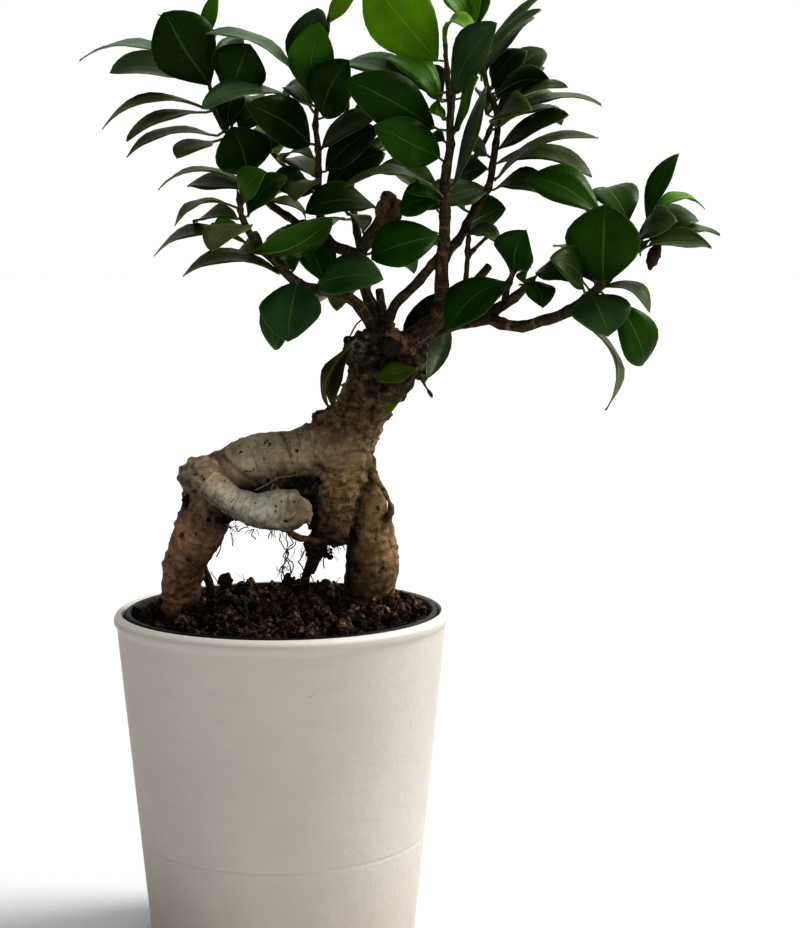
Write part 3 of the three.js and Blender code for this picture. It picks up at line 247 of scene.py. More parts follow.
# Leaves of the front, as seen: x, z of their base and of their tip, how much deeper the tip lies, width,
# how far the upper face turns up from the eye in degrees, rise of the middle, tone
SEEN_LEAVES = {
    "left_low": [
        (-14, 286, -6, 299, -6, 17, 55, 2, YOUNG), (-12, 282, 2, 298, 4, 17, 50, 2, MATURE),
        (-16, 285, -40, 279, -8, 14, 82, 5, MATURE), (-16, 281, -32, 280, 10, 16, 70, 2, OLD),
        (-16, 278, -25, 278, -6, 7, 60, 2, YOUNG), (-13, 272, -48, 268, -6, 16, 74, 6, OLD),
        (-12, 278, -26, 270, -18, 17, 60, 3, MATURE), (-10, 268, 20, 282, -10, 20, 128, -5, MATURE),
        (5, 261, 9, 281, 8, 18, 42, 2, OLD), (-2, 266, 4, 279, 10, 13, 70, 2, MATURE),
        (0, 260, -37, 260, -4, 18, 72, 6, OLD), (-6, 268, -17, 268, 16, 16, 50, 2, OLD),
        (7, 257, 3, 235, -14, 24, 14, 3, BLUISH), (6, 255, -3, 231, 8, 16, 40, 3, OLD),
        (14, 255, 39, 259, -14, 20, 40, 4, BLUISH), (17, 256, 9, 273, 14, 17, 30, 2, OLD),
    ],
    "left_high": [
        (-26, 331, -43, 358, -8, 27, 10, 2, MATURE), (-27, 348, -23, 365, 2, 8, 40, 1, LIME),
        (-33, 338, -75, 341, 6, 17, 80, 7, MATURE), (-30, 333, -63, 337, 14, 18, 122, 4, OLD),
        (-18, 327, -11, 346, -10, 23, 14, 2, OLD), (-21, 329, -14, 348, 18, 18, 130, 2, OLD),
        (8, 334, -27, 351, -6, 15, 74, 5, MATURE), (-27, 322, -67, 316, -8, 15, 78, 7, OLD),
        (-29, 321, -58, 311, -12, 15, 72, 3, OLD), (-24, 312, -58, 305, -8, 14, 76, 5, OLD),
        (-25, 310, -39, 305, -14, 15, 66, 1, MATURE), (3, 327, -29, 323, -16, 17, 66, 4, MATURE),
        (12, 309, -11, 324, -14, 19, 22, 3, OLD), (-15, 314, -5, 324, 10, 18, 30, 2, OLD),
        (-19, 315, -17, 327, 14, 15, 30, 2, OLD), (-12, 297, -17, 315, -12, 24, 12, 3, OLD),
        (-9, 306, 1, 310, 12, 12, 130, 2, OLD), (-13, 294, -46, 293, -4, 13, 82, 6, OLD),
        (-13, 292, -35, 294, 8, 15, 62, 2, OLD), (13, 304, 1, 303, 10, 12, 76, 3, MATURE),
        (13, 291, -3, 295, -8, 16, 46, 2, OLD), (13, 297, 2, 303, 14, 14, 56, 3, OLD),
        (-3, 293, -14, 301, -12, 13, 60, 1, OLD), (10, 283, -5, 288, 6, 14, 74, 2, OLD),
        (37, 285, 10, 284, -8, 20, 52, 4, OLD), (32, 276, 26, 283, 12, 12, 60, 2, MATURE),
        (18, 299, 37, 315, -10, 19, 44, 3, OLD), (18, 292, 40, 306, -14, 19, 42, 3, OLD),
        (16, 307, 36, 319, 4, 17, 60, 3, OLD), (13, 295, 6, 289, -16, 14, 56, 2, BLUISH),
        (12, 328, 15, 354, -10, 18, 6, 2, YOUNG), (9, 332, 15, 360, 14, 17, 30, 2, BLUISH),
        (19, 354, 31, 369, -4, 8, 30, 1, LIME), (17, 319, 26, 340, -8, 22, 30, 4, OLD),
        (12, 323, 4, 331, 14, 13, 40, 2, OLD), (35, 270, 45, 278, 14, 14, 50, 2, MATURE),
    ],
    "main": [
        (60, 340, 34, 370, -8, 26, 4, 2, LIME), (59, 315, 26, 333, -12, 21, 16, 5, OLD),
        (61, 325, 41, 342, 4, 16, 50, 4, YOUNG), (61, 326, 57, 338, 12, 12, 140, 1, BLUISH),
        (61, 304, 37, 316, -14, 18, 12, 3, MATURE), (60, 294, 37, 300, 4, 16, 60, 3, OLD),
        (61, 291, 25, 294, -6, 14, 76, 6, MATURE), (60, 288, 50, 292, -10, 11, 60, 2, YOUNG),
        (61, 287, 46, 284, 6, 16, 40, 3, OLD), (61, 274, 45, 271, 2, 14, 50, 2, OLD),
        (61, 274, 35, 266, -14, 21, 30, 4, OLD), (41, 251, 53, 260, 8, 12, 30, 2, YOUNG),
        (63, 310, 57, 312, -6, 8, 40, 1, OLD), (63, 319, 58, 322, -6, 8, 50, 1, YOUNG),
        (57, 328, 21, 338, 6, 19, 62, 6, OLD), (79, 292, 56, 285, -18, 19, 50, 3, BLUISH),
        (82, 292, 102, 291, -8, 18, 60, 4, BLUISH), (71, 278, 85, 285, 4, 17, 150, 2, MATURE),
        (70, 274, 84, 273, -8, 12, 66, 3, OLD), (63, 346, 76, 350, -8, 12, 76, 8, LIME),
        (73, 352, 77, 368, -4, 9, 50, 1, LIME), (75, 352, 76, 371, 8, 15, 30, 1, YOUNG),
        (73, 353, 61, 367, 4, 12, 50, 1, YOUNG), (76, 335, 99, 365, 10, 13, 68, 2, YOUNG),
        (69, 326, 98, 360, -12, 14, 74, 3, MATURE), (78, 336, 96, 357, 16, 14, 58, 2, BLUISH),
        (77, 331, 104, 353, -10, 15, 64, 4, MATURE), (66, 328, 82, 354, -14, 19, 44, 2, BLUISH),
        (81, 330, 93, 345, -2, 17, 50, 2, MATURE), (83, 329, 100, 345, 18, 16, 40, 2, MATURE),
        (83, 328, 103, 333, 4, 18, 120, 3, OLD), (83, 326, 99, 337, 22, 17, 60, 3, YOUNG),
        (84, 321, 103, 329, 12, 18, 48, 3, BLUISH), (84, 320, 109, 331, 2, 13, 78, 4, OLD),
        (85, 318, 122, 325, -2, 14, 78, 5, OLD), (82, 316, 95, 322, -16, 15, 66, 4, MATURE),
        (84, 317, 105, 323, 14, 14, 70, 2, OLD), (83, 307, 109, 321, -8, 15, 62, 1, OLD),
        (82, 295, 121, 312, -6, 15, 76, 6, MATURE), (83, 302, 119, 298, -14, 17, 66, 5, MATURE),
        (66, 293, 78, 331, -8, 15, 70, -2, MATURE), (67, 314, 74, 334, -10, 13, 70, -1, YOUNG),
        (79, 320, 76, 330, 6, 13, 60, 1, BLUISH), (79, 305, 70, 310, -8, 14, 60, 2, OLD),
        (79, 300, 66, 294, 4, 18, 50, 2, OLD),
    ],
    "right_low": [
        (122, 283, 94, 297, 10, 20, 42, 3, MATURE), (133, 280, 124, 293, 22, 19, 30, 3, OLD),
        (124, 256, 124, 286, -8, 29, 12, 3, MATURE), (137, 270, 122, 274, -20, 15, 50, 2, BLUISH),
        (137, 273, 151, 280, -14, 16, 55, 3, BLUISH), (140, 281, 151, 306, 2, 12, 50, 1, MATURE),
        (142, 283, 162, 285, 6, 10, 70, 5, LIME), (140, 276, 159, 282, 10, 17, 50, 3, MATURE),
        (141, 273, 168, 275, 0, 13, 70, 3, MATURE), (141, 271, 165, 271, -6, 15, 120, 2, MATURE),
        (119, 252, 126, 237, -16, 23, 20, 3, BLUISH), (124, 255, 142, 246, -4, 15, 70, 4, MATURE),
        (129, 249, 140, 225, 8, 18, 30, 3, MATURE), (116, 241, 126, 208, -4, 14, 80, 8, OLD),
        (88, 262, 85, 273, 8, 12, 60, 1, YOUNG), (90, 261, 93, 276, -8, 18, 30, 2, OLD),
        (116, 257, 98, 262, 14, 14, 40, 2, MATURE), (116, 255, 104, 266, -10, 17, 50, 3, OLD),
        (121, 262, 105, 271, 12, 14, 66, 2, OLD), (95, 257, 101, 248, -8, 13, 40, 2, OLD),
        (94, 256, 95, 263, 4, 8, 60, 1, YOUNG), (87, 257, 64, 239, -14, 20, 38, 4, OLD),
    ],
    "sprout_front": [(52, 224, 37, 220, -5, 8.5, 30, 1, YOUNG)],
    "sprout_neck": [(47, 214, 41, 207, -3, 5, 30, 1, YOUNG)],
    "sprout_back": [(56, 220, 59, 252, 6, 21, 160, 3, MATURE)],
    "dry_leaf": [(25, 232, 18, 208, -2, 9, 50, 2, DRY), (24, 232, 15, 210, 5, 8, 70, 3, DRY)],
}

STEM_NODES = {
    "left_low": "leafy_stem_left_low", "left_high": "leafy_stem_left_high", "main": "leafy_stem_main",
    "right_low": "leafy_stem_right_low", "back_left": "leafy_stem_back_left",
    "back_right": "leafy_stem_back_right", "sprout_front": "sprout_leaf_front",
    "sprout_neck": "sprout_leaf_neck", "sprout_back": "sprout_leaf_back", "dry_leaf": "dry_leaf",
}

# Stems with more leaves on the side that the photograph doesn't show: stem, part, first and last place
# along the part, number of leaves tried.
FILLED_STEMS = [
    ("back_left", "axis", 0.3, 0.97, 13), ("back_left", "fork", 0.3, 0.97, 9),
    ("back_right", "axis", 0.3, 0.97, 16), ("back_right", "fork", 0.2, 0.97, 16),
    ("left_high", "far", 0.2, 0.97, 12), ("left_high", "fork", 0.3, 0.97, 9),
    ("left_low", "axis", 0.5, 0.97, 16), ("main", "axis", 0.4, 0.97, 12), ("main", "fork", 0.2, 0.97, 12),
    ("right_low", "axis", 0.6, 0.97, 16),
]

# Hair roots, each a run of (x, z, depth)
HAIR_ROOTS = {
    "crossing_root_hairs": [
        [(-24.5, 156.1, -4), (-23.4, 154.6, -5), (-23.8, 151.7, -5)],
        [(-19.4, 160.1, -9), (-18.7, 157.6, -9), (-17.9, 155.0, -9)],
        [(-10.5, 161.6, -12), (-11.3, 159.2, -12), (-9.8, 157.4, -12)],
        [(-3.9, 160.8, -11), (-5.1, 158.4, -12)],
        [(-20.6, 162.0, -8), (-16.7, 162.4, -10), (-15.6, 160.4, -11), (-13.2, 162.0, -11)],
    ],
    "tangled_roots": [
        [
            (1.5, 162.0, -8), (2.2, 155.4, -7), (1.8, 151.4, -5), (0.6, 148.7, -4), (0.6, 145.2, -3),
            (2.1, 140.8, -1), (1.6, 131.0, 0),
        ],
        [
            (5.7, 156.9, -2), (3.4, 153.8, -5), (2.2, 150.7, -6), (3.7, 147.5, -4), (3.3, 144.4, -3),
            (1.7, 140.4, 0), (3.0, 131.0, 1),
        ],
        [
            (-0.5, 160.1, -9), (1.0, 154.2, -8), (3.0, 152.2, -6), (1.8, 148.7, -5), (-0.6, 145.5, -4),
            (-0.2, 140.0, 0), (-1.0, 131.0, 1),
        ],
        [
            (2.6, 161.2, -9), (3.8, 156.1, -7), (1.4, 152.2, -6), (2.5, 146.3, -4), (4.4, 140.0, 1),
            (5.0, 131.0, 2),
        ],
    ],
    "clump_hairs": [
        [(15.8, 152.6, 6), (16.5, 149.5, 6), (15.7, 146.3, 6)],
        [(8.8, 152.6, 9), (7.2, 148.7, 9), (8.4, 144.8, 10), (6.8, 140.8, 11), (5.5, 131.0, 12)],
        [(14.2, 149.5, 8), (12.2, 145.5, 8), (13.0, 140.0, 10), (12.0, 131.0, 12)],
    ],
}
# Where fine hairs hang in tufts: x, z, depth, spread, greatest number of steps more, number of hairs
HAIR_TUFTS = [
    (13.5, 154, 7, 3.0, 7, 40), (18, 157, 2, 5.0, 5, 20), (-3, 161.5, -12, 6.0, 2, 12),
    (-20, 163, -9, 4.0, 2, 12), (1.5, 147, -5, 1.0, 4, 8), (40.5, 166, 5, 1.2, 3, 6),
]

# Low heaps of peat round the roots: x, y, reach, rise
SOIL_HEAPS = [(-27, 8, 6, 4.0), (2, 4, 4.5, 5.0), (-39, 0, 11, 2.0), (33, 12, 12, 1.5), (10, 10, 5, 2.0)]

# Pale hairs on the crossing root, and a dry thread at the graft, as (x, z, depth)
PALE_HAIRS = [
    [(-10.0, 176.8, -22), (-5.8, 178.8, -18), (-1.1, 181.5, -13), (4.7, 182.3, -9)],
    [(-3.8, 176.8, -21), (-3.0, 179.2, -17), (-0.7, 177.2, -21)],
]
DRY_THREAD = [(32.2, 243.2, -6), (29.5, 240.9, -8), (27.6, 237.8, -9), (26.1, 234.4, -8)]


# Colour


def srgb(code):
    """The linear colour of an sRGB hex value such as "8a755c"."""
    shares = [int(code[i:i + 2], 16) / 255 for i in (0, 2, 4)]
    return tuple(c / 12.92 if c <= 0.04045 else ((c + 0.055) / 1.055) ** 2.4 for c in shares)


LEAF_COLOURS = {
    OLD: "204605", MATURE: "294c08", YOUNG: "3f690a", BLUISH: "35502e", LIME: "648f08", DRY: "4b4322",
}

# Each root's bark colour, and how rough it is from 0 to 1
ROOT_BARKS = {
    "left_leg": ("98795c", 0.6), "knee_knob": ("a8927a", 1.0), "crossing_root": ("cdc5b1", 0.45),
    # under_thigh's near black is soil on it together with painted shade under the thigh
    "thigh": ("aca088", 0.3), "under_thigh": ("1d140d", 0.9), "trunk": ("a08560", 1.0),
    "right_leg": ("8d7551", 0.5), "under_root": ("86694a", 0.6), "soil_root": ("1f1610", 1.0),
    "side_root": ("3a2d20", 0.8), "twig_root": ("8a7352", 0.8), "cut_stub": ("3d2f20", 0.9),
    "graft_left": ("211e19", 1.0), "graft_right": ("1e1712", 1.0), "graft_front": ("17110c", 1.0),
    "graft_back": ("2a2019", 1.0), "graft_top": ("231b13", 1.0), "graft_low": ("271d14", 1.0),
    "bark_lump": ("3c2e1f", 1.0), "knee_bump": ("968566", 0.7), "knee_nub": ("8d7c5e", 0.7),
    "saddle": ("9a8668", 0.6),
}

# Roots that have grown into each other, and how widely their skins blend
GROWN_TOGETHER = [
    ("thigh", "trunk", 9), ("right_leg", "trunk", 2), ("left_leg", "thigh", 6),
    ("knee_knob", "crossing_root", 6), ("knee_knob", "left_leg", 3), ("saddle", "trunk", 8),
    ("saddle", "thigh", 8), ("knee_bump", "crossing_root", 3), ("knee_nub", "crossing_root", 3),
    ("trunk", "graft_front", 4), ("trunk", "graft_left", 4), ("trunk", "graft_right", 4),
    ("trunk", "graft_low", 5), ("trunk", "graft_back", 4), ("bark_lump", "trunk", 2),
    ("under_thigh", "thigh", 3), ("under_thigh", "trunk", 3),
]

# Where potting soil and rot have darkened the bark, mixed with painted shade in the knee's hollow, under the
# crossing root, between the bulge and the crossing root's end, and on the right leg's left side: x, z, depth,
# reach, darkness
SOILED_AND_SHADED_PLACES = [
    (-37, 173.5, -3, 5.5, 1.0), (-33, 177, -8, 4, 0.6), (-37, 182, -8, 4, 0.5), (-29, 167, -10, 8, 0.7),
    (-21, 164, -10, 6, 0.7), (-28, 172, -14, 3.5, 0.5), (-18, 165, -18, 4, 0.45), (-8, 161, -18, 4.5, 0.5),
    (4, 161, -19, 5, 0.4), (12, 170, -8, 4.5, 0.95), (12, 163, -6, 6, 0.95), (8, 180, -6, 4.5, 0.9),
    (14, 186, -6, 3.0, 0.7), (18, 157, 0, 9, 0.9), (27, 160, 8, 4.5, 0.85), (27, 147, 8, 5.5, 0.8),
    (28, 135, 10, 6, 0.75), (8.5, 172, -19, 5, 0.42), (6, 164.5, -17, 4, 0.6), (-20, 166, -17, 4.5, 0.5),
    (14, 203, 1, 5, 0.6), (39, 229, -8, 14, 0.92), (46, 220, -5, 8, 0.88), (37, 217, -8, 9, 0.88),
    (35, 208, -8, 9, 0.8), (32, 199, -7, 8, 0.6), (28, 190, -6, 6, 0.3), (13, 172, -9, 5, 0.6),
    (27, 208, -10, 12, 0.75), (22, 201, -10, 10, 0.5), (33, 205, -10, 9, 0.75), (14, 170, -14, 4, 0.6),
    (17, 163, -12, 6, 0.55),
]

# Furrows of the front with painted shade in them, and painted shade along shaded edges where the depth is 0,
# as seen: width, depth, darkness, and their run of (x, z)
FURROWS_AND_SHADED_EDGES = [
    (1.3, 2.8, 0.85, [(33.4, 178.5), (31.4, 174), (29.6, 168), (28.4, 162), (27.4, 156)]),
    (3.0, 0.0, 0.9, [(25.4, 157), (25.4, 146), (26.6, 131)]),
    (3.6, 0.0, 0.7, [(-37.5, 181), (-32, 176), (-25, 170.5), (-18.5, 164.5), (-12, 161.5)]),
    (1.0, 0.5, 0.6, [(-36, 187), (-33, 184.5), (-30.5, 181)]),
    (1.2, 0.7, 0.7, [(13.5, 187), (17, 184.5), (20.5, 184)]),
    (0.8, 0.6, 0.5, [(24, 191), (30, 192.5), (36, 190.5)]),
    (0.8, 0.5, 0.5, [(21, 183), (27, 185.5), (34, 184)]),
    (0.5, 0.3, 0.5, [(3, 164.5), (6.5, 168), (6.5, 173)]),
    (0.5, 0.3, 0.4, [(-1, 164), (2.5, 168.5), (2.5, 174)]),
    (0.5, 0.3, 0.35, [(-5, 164), (-2, 168), (-2, 173.5)]),
    (0.6, 0.4, 0.6, [(-22, 190), (-16, 184), (-9, 179)]), (0.7, 0.5, 0.5, [(-5, 203), (1, 198), (4, 190)]),
]

# Places of another colour, rubbed clean or aged, and painted highlights on the knee's top and on the
# right-hand
# sides of the bulge and the right leg: x, z, depth, reach, share, colour
TINTED_AND_HIGHLIGHTED_PLACES = [
    (-25.5, 184.5, -14, 6, 0.85, "ecc9a6"), (-31, 187, -10, 6, 0.8, "cdb99b"),
    (-18, 176, -18, 5, 0.5, "d9cdb8"), (-9, 171.5, -20, 6, 0.5, "cdd0c8"), (8, 168, -19, 8, 0.9, "8a744a"),
    (27, 208, -10, 12, 0.6, "7a5a30"), (22, 172, -14, 6, 0.4, "b09560"), (-5, 197, -9, 7, 0.3, "b8b2a2"),
    (4, 187, -9, 7, 0.45, "a58a5c"), (29, 180, -9, 7, 0.5, "b39a6a"), (35, 184, -4, 5, 0.6, "ab8d5f"),
    (37, 150, 0, 6, 0.6, "c29f70"), (36, 138, 0, 5, 0.4, "b59468"),
]

# Soil that clings to the roots: x, z, depth, spread in x, spread in z, number of crumbs
CLINGING_SOIL = [
    (12.2, 171, -6, 1.0, 3.4, 32), (13.0, 164.5, -4, 1.2, 2.0, 28), (18, 160, 6, 3.4, 1.2, 44),
    (14.5, 154, 9, 2.4, 2.2, 60), (12, 147, 10, 0.8, 2.6, 10), (7, 179.5, -5, 5, 1.3, 26),
    (-36.0, 174, -4, 0.6, 2.2, 9), (-22, 165.5, -12, 3.0, 0.8, 10), (2.5, 141, -3, 1.4, 2.0, 14),
]

# The burl on the pruned end of the left stem, as (x, z, depth, radius)
BURL = (42, 283.5, 3, 7)
BURL_LOBES = [
    (39.8, 284.5, -1, 3.4), (43.6, 281.6, -2, 3.2), (41.4, 288.0, 1, 3.0), (44.6, 285.6, 0, 2.6),
]

# New bark over the upper edge of the old cut: x, z, depth, radius
STUB_LIP = [
    (39.8, 236.6, -11, 0.7), (41.6, 237.4, -13.5, 1.3), (44.5, 236.4, -15, 1.5), (47.5, 234.5, -16, 1.4),
    (50.4, 231.6, -16, 1.3), (51.1, 229.2, -15, 0.8),
]

# Painted grey sheen, a reflection, on the leaves that stand with their edge towards the front, high and low
# in the crown
SHEEN_ABOVE = "6f8568"
SHEEN_BELOW = "686b41"

# Leaves of the trunk's own sprouts, how their faces turn from the solids' leaves, and slot names other than
# "leaves", which here only keep the bud sheaths off those stems' wood
SPROUT_COLOURS = {"sprout_front": "465410", "sprout_neck": "76871c", "sprout_back": "142602"}
SPROUT_TURNS = {"sprout_front": (0, -0.8, 0.2), "sprout_back": (0, 0, 0)}
LEAF_SLOTS = {"sprout_front": "young_leaves", "sprout_neck": "young_leaves", "dry_leaf": "dry_leaf"}

# Leaves whose finished form stands a little clear of the bark: shift in mm
EASED_LEAVES = {"sprout_front": (0, -4, 0), "dry_leaf": (2.2, -1.5, 0)}

# Withered and budding bits of the stems, each a run of (x, z, depth, radius)
WITHERED_BUD = [
    (144.6, 272.2, -13, 0.6), (144.0, 269.9, -14, 1.8), (143.0, 267.2, -15, 2.8), (142.1, 264.6, -15, 2.2),
    (141.6, 262.6, -15, 1.0), (141.5, 261.4, -15, 0.3),
]
DEAD_SHOOT = [
    (54.0, 220.6, 1, 0.8), (55.4, 217.7, 0, 0.5), (56.4, 216.1, 0, 0.3), (57.2, 214.8, 0, 0.8),
    (58.0, 213.6, 0, 0.8), (58.4, 212.6, 0, 0.2),
]
BUD_SHOOTS = [
    [(-18.6, 278.6, -14, 0.5), (-20.4, 279.3, -14, 0.7), (-22.2, 279.4, -14, 0.3)],
    [(-20.2, 279.2, -14, 0.3), (-20.0, 280.6, -14, 0.12)],
    [(-18.8, 278.9, -14, 0.3), (-18.6, 280.4, -14, 0.12)],
    [
        (-22.2, 279.4, -14, 0.2), (-23.9, 279.2, -14, 0.18), (-25.4, 279.0, -14, 0.45),
        (-26.6, 278.3, -14, 0.15),
    ],
]


# Places


def seen(x, z, depth):
    """The point seen at x, z on the middle plane and lying that far behind it."""
    return (np.array([x, 0.0, z]) - EYE) * (1 - depth / EYE[1]) + EYE


def as_seen(places):
    """Where places appear on the upright plane through the pot's axis."""
    share = EYE[1] / (EYE[1] - places[:, 1])
    return EYE[[0, 2]] + (places[:, [0, 2]] - EYE[[0, 2]]) * share[:, None]


def nearness(places, spot, reach, power=2):
    """1 at a spot that is given as it is seen, fading to 0 past its reach."""
    return np.exp(-((np.linalg.norm(places - seen(*spot), axis=1) / reach) ** power))


def unit(vector):
    return vector / np.linalg.norm(vector)


def smooth_run(run, step):
    """Centres and radii about every step along a smooth curve through a run of (x, z, depth, radius)."""
    centres = [seen(*row[:3]) for row in run]
    centres = [2 * centres[0] - centres[1], *centres, 2 * centres[-1] - centres[-2]]
    rows = []
    for i in range(len(run) - 1):
        a, b, c, d = centres[i:i + 4]
        count = max(1, math.ceil(np.linalg.norm(c - b) / step))
        for k in range(count + (i == len(run) - 2)):
            t = k / count
            bend = 0.5 * ((c - a) * t + (2 * a - 5 * b + 4 * c - d) * t**2 + (3 * b - a - 3 * c + d) * t**3)
            rows.append((b + bend, run[i][3] * (1 - t) + run[i + 1][3] * t))
    return rows


# Nodes and materials. Tables of patterns below give the coordinates they read, the width of their grain
# in millimetres and their detail.


def add_node(tree, kind, inputs, output=0, **settings):
    """Adds a node with its settings, feeds it values, hex colours or sockets, and gives one output."""
    node = tree.nodes.new("ShaderNode" + kind)
    for name, value in settings.items():
        setattr(node, name, value)
    for name, value in inputs.items():
        socket = node.inputs[name]
        if isinstance(value, bpy.types.NodeSocket):
            tree.links.new(value, socket)
            continue
        value = srgb(value) if isinstance(value, str) else value
        socket.default_value = (*value[:3], 1) if socket.type == "RGBA" else value
    return node.outputs[output]


def new_material(name, shader_values):
    """A material with these values on its shader's own sockets, its tree, and the place of each point."""
    material = bpy.data.materials.new(name)
    material.use_nodes = True
    tree = material.node_tree
    for socket, value in shader_values.items():
        tree.nodes["Principled BSDF"].inputs[socket].default_value = value
    return material, tree, add_node(tree, "TexCoord", {}, "Object")


def coloured(tree, base, layers):
    """Lays colours over a base. A layer is a pattern, where it starts and is full, its strength there, its
    colour, and a pattern that holds it back, if one does."""
    for pattern, start, full, strength, colour, *held_back in layers:
        share = add_node(tree, "MapRange", {0: pattern, 1: start, 2: full, 4: strength})
        for other in held_back:
            share = add_node(tree, "Math", {0: share, 1: other}, operation="MULTIPLY")
        base = add_node(tree, "Mix", {0: share, 6: base, 7: colour}, 2, data_type="RGBA")
    return base


def finished(material, base, reliefs=(), gloss=None):
    """The material with its colour, its gloss, and its reliefs over each other: a pattern and how high it
    stands in millimetres, or how deep it is sunk where that is below 0."""
    tree = material.node_tree
    bump, below = None, {}
    for pattern, height in reliefs:
        inputs = {"Height": pattern, "Distance": abs(height) * MM, **below}
        bump = add_node(tree, "Bump", inputs, invert=height < 0)
        below = {"Normal": bump}
    for name, socket in (("Base Color", base), ("Roughness", gloss), ("Normal", bump)):
        if socket is not None:
            tree.links.new(socket, tree.nodes["Principled BSDF"].inputs[name])
    return material


def slip_coated_earthenware(colour):
    """Earthenware with a matt off-white slip: soft, no reflections, a faint orange peel, a few stains,
    and a painted highlight: a paler line along the top of the rim."""
    material, tree, place = new_material("slip_coated_earthenware", {"IOR": 1.45})
    height = add_node(tree, "SeparateXYZ", {"Vector": place}, "Z")
    swept = add_node(tree, "Mapping", {"Vector": place, "Scale": (0.3, 0.3, 1.2)})
    clouds, brushed, grains, peel = (
        add_node(tree, "TexNoise", {"Vector": course, "Scale": 1 / (width * MM), "Detail": detail})
        for course, width, detail in ((place, 40, 4), (swept, 5, 4), (place, 2.6, 3), (place, 1.2, 2))
    )
    darker = [0.87 * c for c in colour]
    base = coloured(tree, colour, [
        (clouds, 0.35, 0.75, 0.5, darker),
        (brushed, 0.5, 0.75, 0.3, darker),
        (height, 40 * MM, 8 * MM, 0.45, "a8998a", clouds),
        # Painted highlight along the top of the rim
        (height, 128.1 * MM, 129.4 * MM, 0.9, "f3efe6"),
    ])
    gloss = add_node(tree, "MapRange", {0: grains, 1: 0.3, 2: 0.7, 3: 0.54, 4: 0.7})
    return finished(material, base, [(grains, 0.22), (peel, 0.1), (brushed, 0.12)], gloss)


def moulded_polypropylene():
    """Black moulded polypropylene: dull satin, with paler scuffs where it is rubbed, and soil dust."""
    material, tree, place = new_material("moulded_polypropylene", {"IOR": 1.49, "Specular IOR Level": 0.35})
    swept = add_node(tree, "Mapping", {"Vector": place, "Scale": (1, 1, 2.5)})
    scuffs = {"Vector": swept, "Scale": 1 / (4 * MM), "Detail": 5, "Roughness": 0.7}
    scuffs = add_node(tree, "TexNoise", scuffs)
    dust = add_node(tree, "TexNoise", {"Vector": place, "Scale": 1 / (1.3 * MM), "Detail": 3})
    base = coloured(tree, "0a0a0a", [(scuffs, 0.56, 0.68, 0.55, "3f3c38"), (dust, 0.58, 0.66, 0.7, "2f251b")])
    gloss = add_node(tree, "MapRange", {0: scuffs, 1: 0.4, 2: 0.7, 3: 0.45, 4: 0.7})
    return finished(material, base, [(scuffs, 0.3), (dust, 0.15)], gloss)


def moist_peat():
    """Moist potting peat: brown on shreds and crumbs that stand out, with painted shade that leaves it nearly
    black in its hollows.
    """
    material, tree, place = new_material("moist_peat", {"Roughness": 0.95, "IOR": 1.35})
    tint = add_node(tree, "Attribute", {}, "Color", attribute_name="tint")
    swept = add_node(tree, "Mapping", {"Vector": place, "Scale": (0.4, 1.3, 1), "Rotation": (0, 0, 0.6)})
    clods, crumbs, shreds = (
        add_node(tree, "TexNoise", {"Vector": course, "Scale": 1 / (width * MM), "Detail": detail})
        for course, width, detail in ((place, 7, 4), (place, 1.6, 5), (swept, 1.2, 3))
    )
    base = coloured(tree, "1a130e", [
        (clods, 0.38, 0.62, 1, "3e2e23"),
        (crumbs, 0.5, 0.68, 0.85, "6c5645"),
        (crumbs, 0.46, 0.36, 0.9, "0c0705"),
        (shreds, 0.62, 0.67, 0.6, "94806b"),
    ])
    # The stored tint holds each crumb's own brown and, on the ground, painted shade: darker in hollows,
    # lighter on raised clods
    base = add_node(tree, "Mix", {0: 1.0, 6: base, 7: tint}, 2, data_type="RGBA", blend_type="MULTIPLY")
    return finished(material, base, [(crumbs, 1.2), (shreds, 0.5)])


def plain_bits(name, code, roughness):
    """Small loose bits of one stuff, mottled: fibres, mineral crumbs and dried buds."""
    material, tree, place = new_material(name, {"Roughness": roughness, "IOR": 1.4})
    grain = add_node(tree, "TexNoise", {"Vector": place, "Scale": 1 / (1.2 * MM), "Detail": 3})
    base = coloured(tree, [0.45 * c for c in srgb(code)], [(grain, 0.35, 0.65, 1, code)])
    return finished(material, base, [(grain, 0.3)])


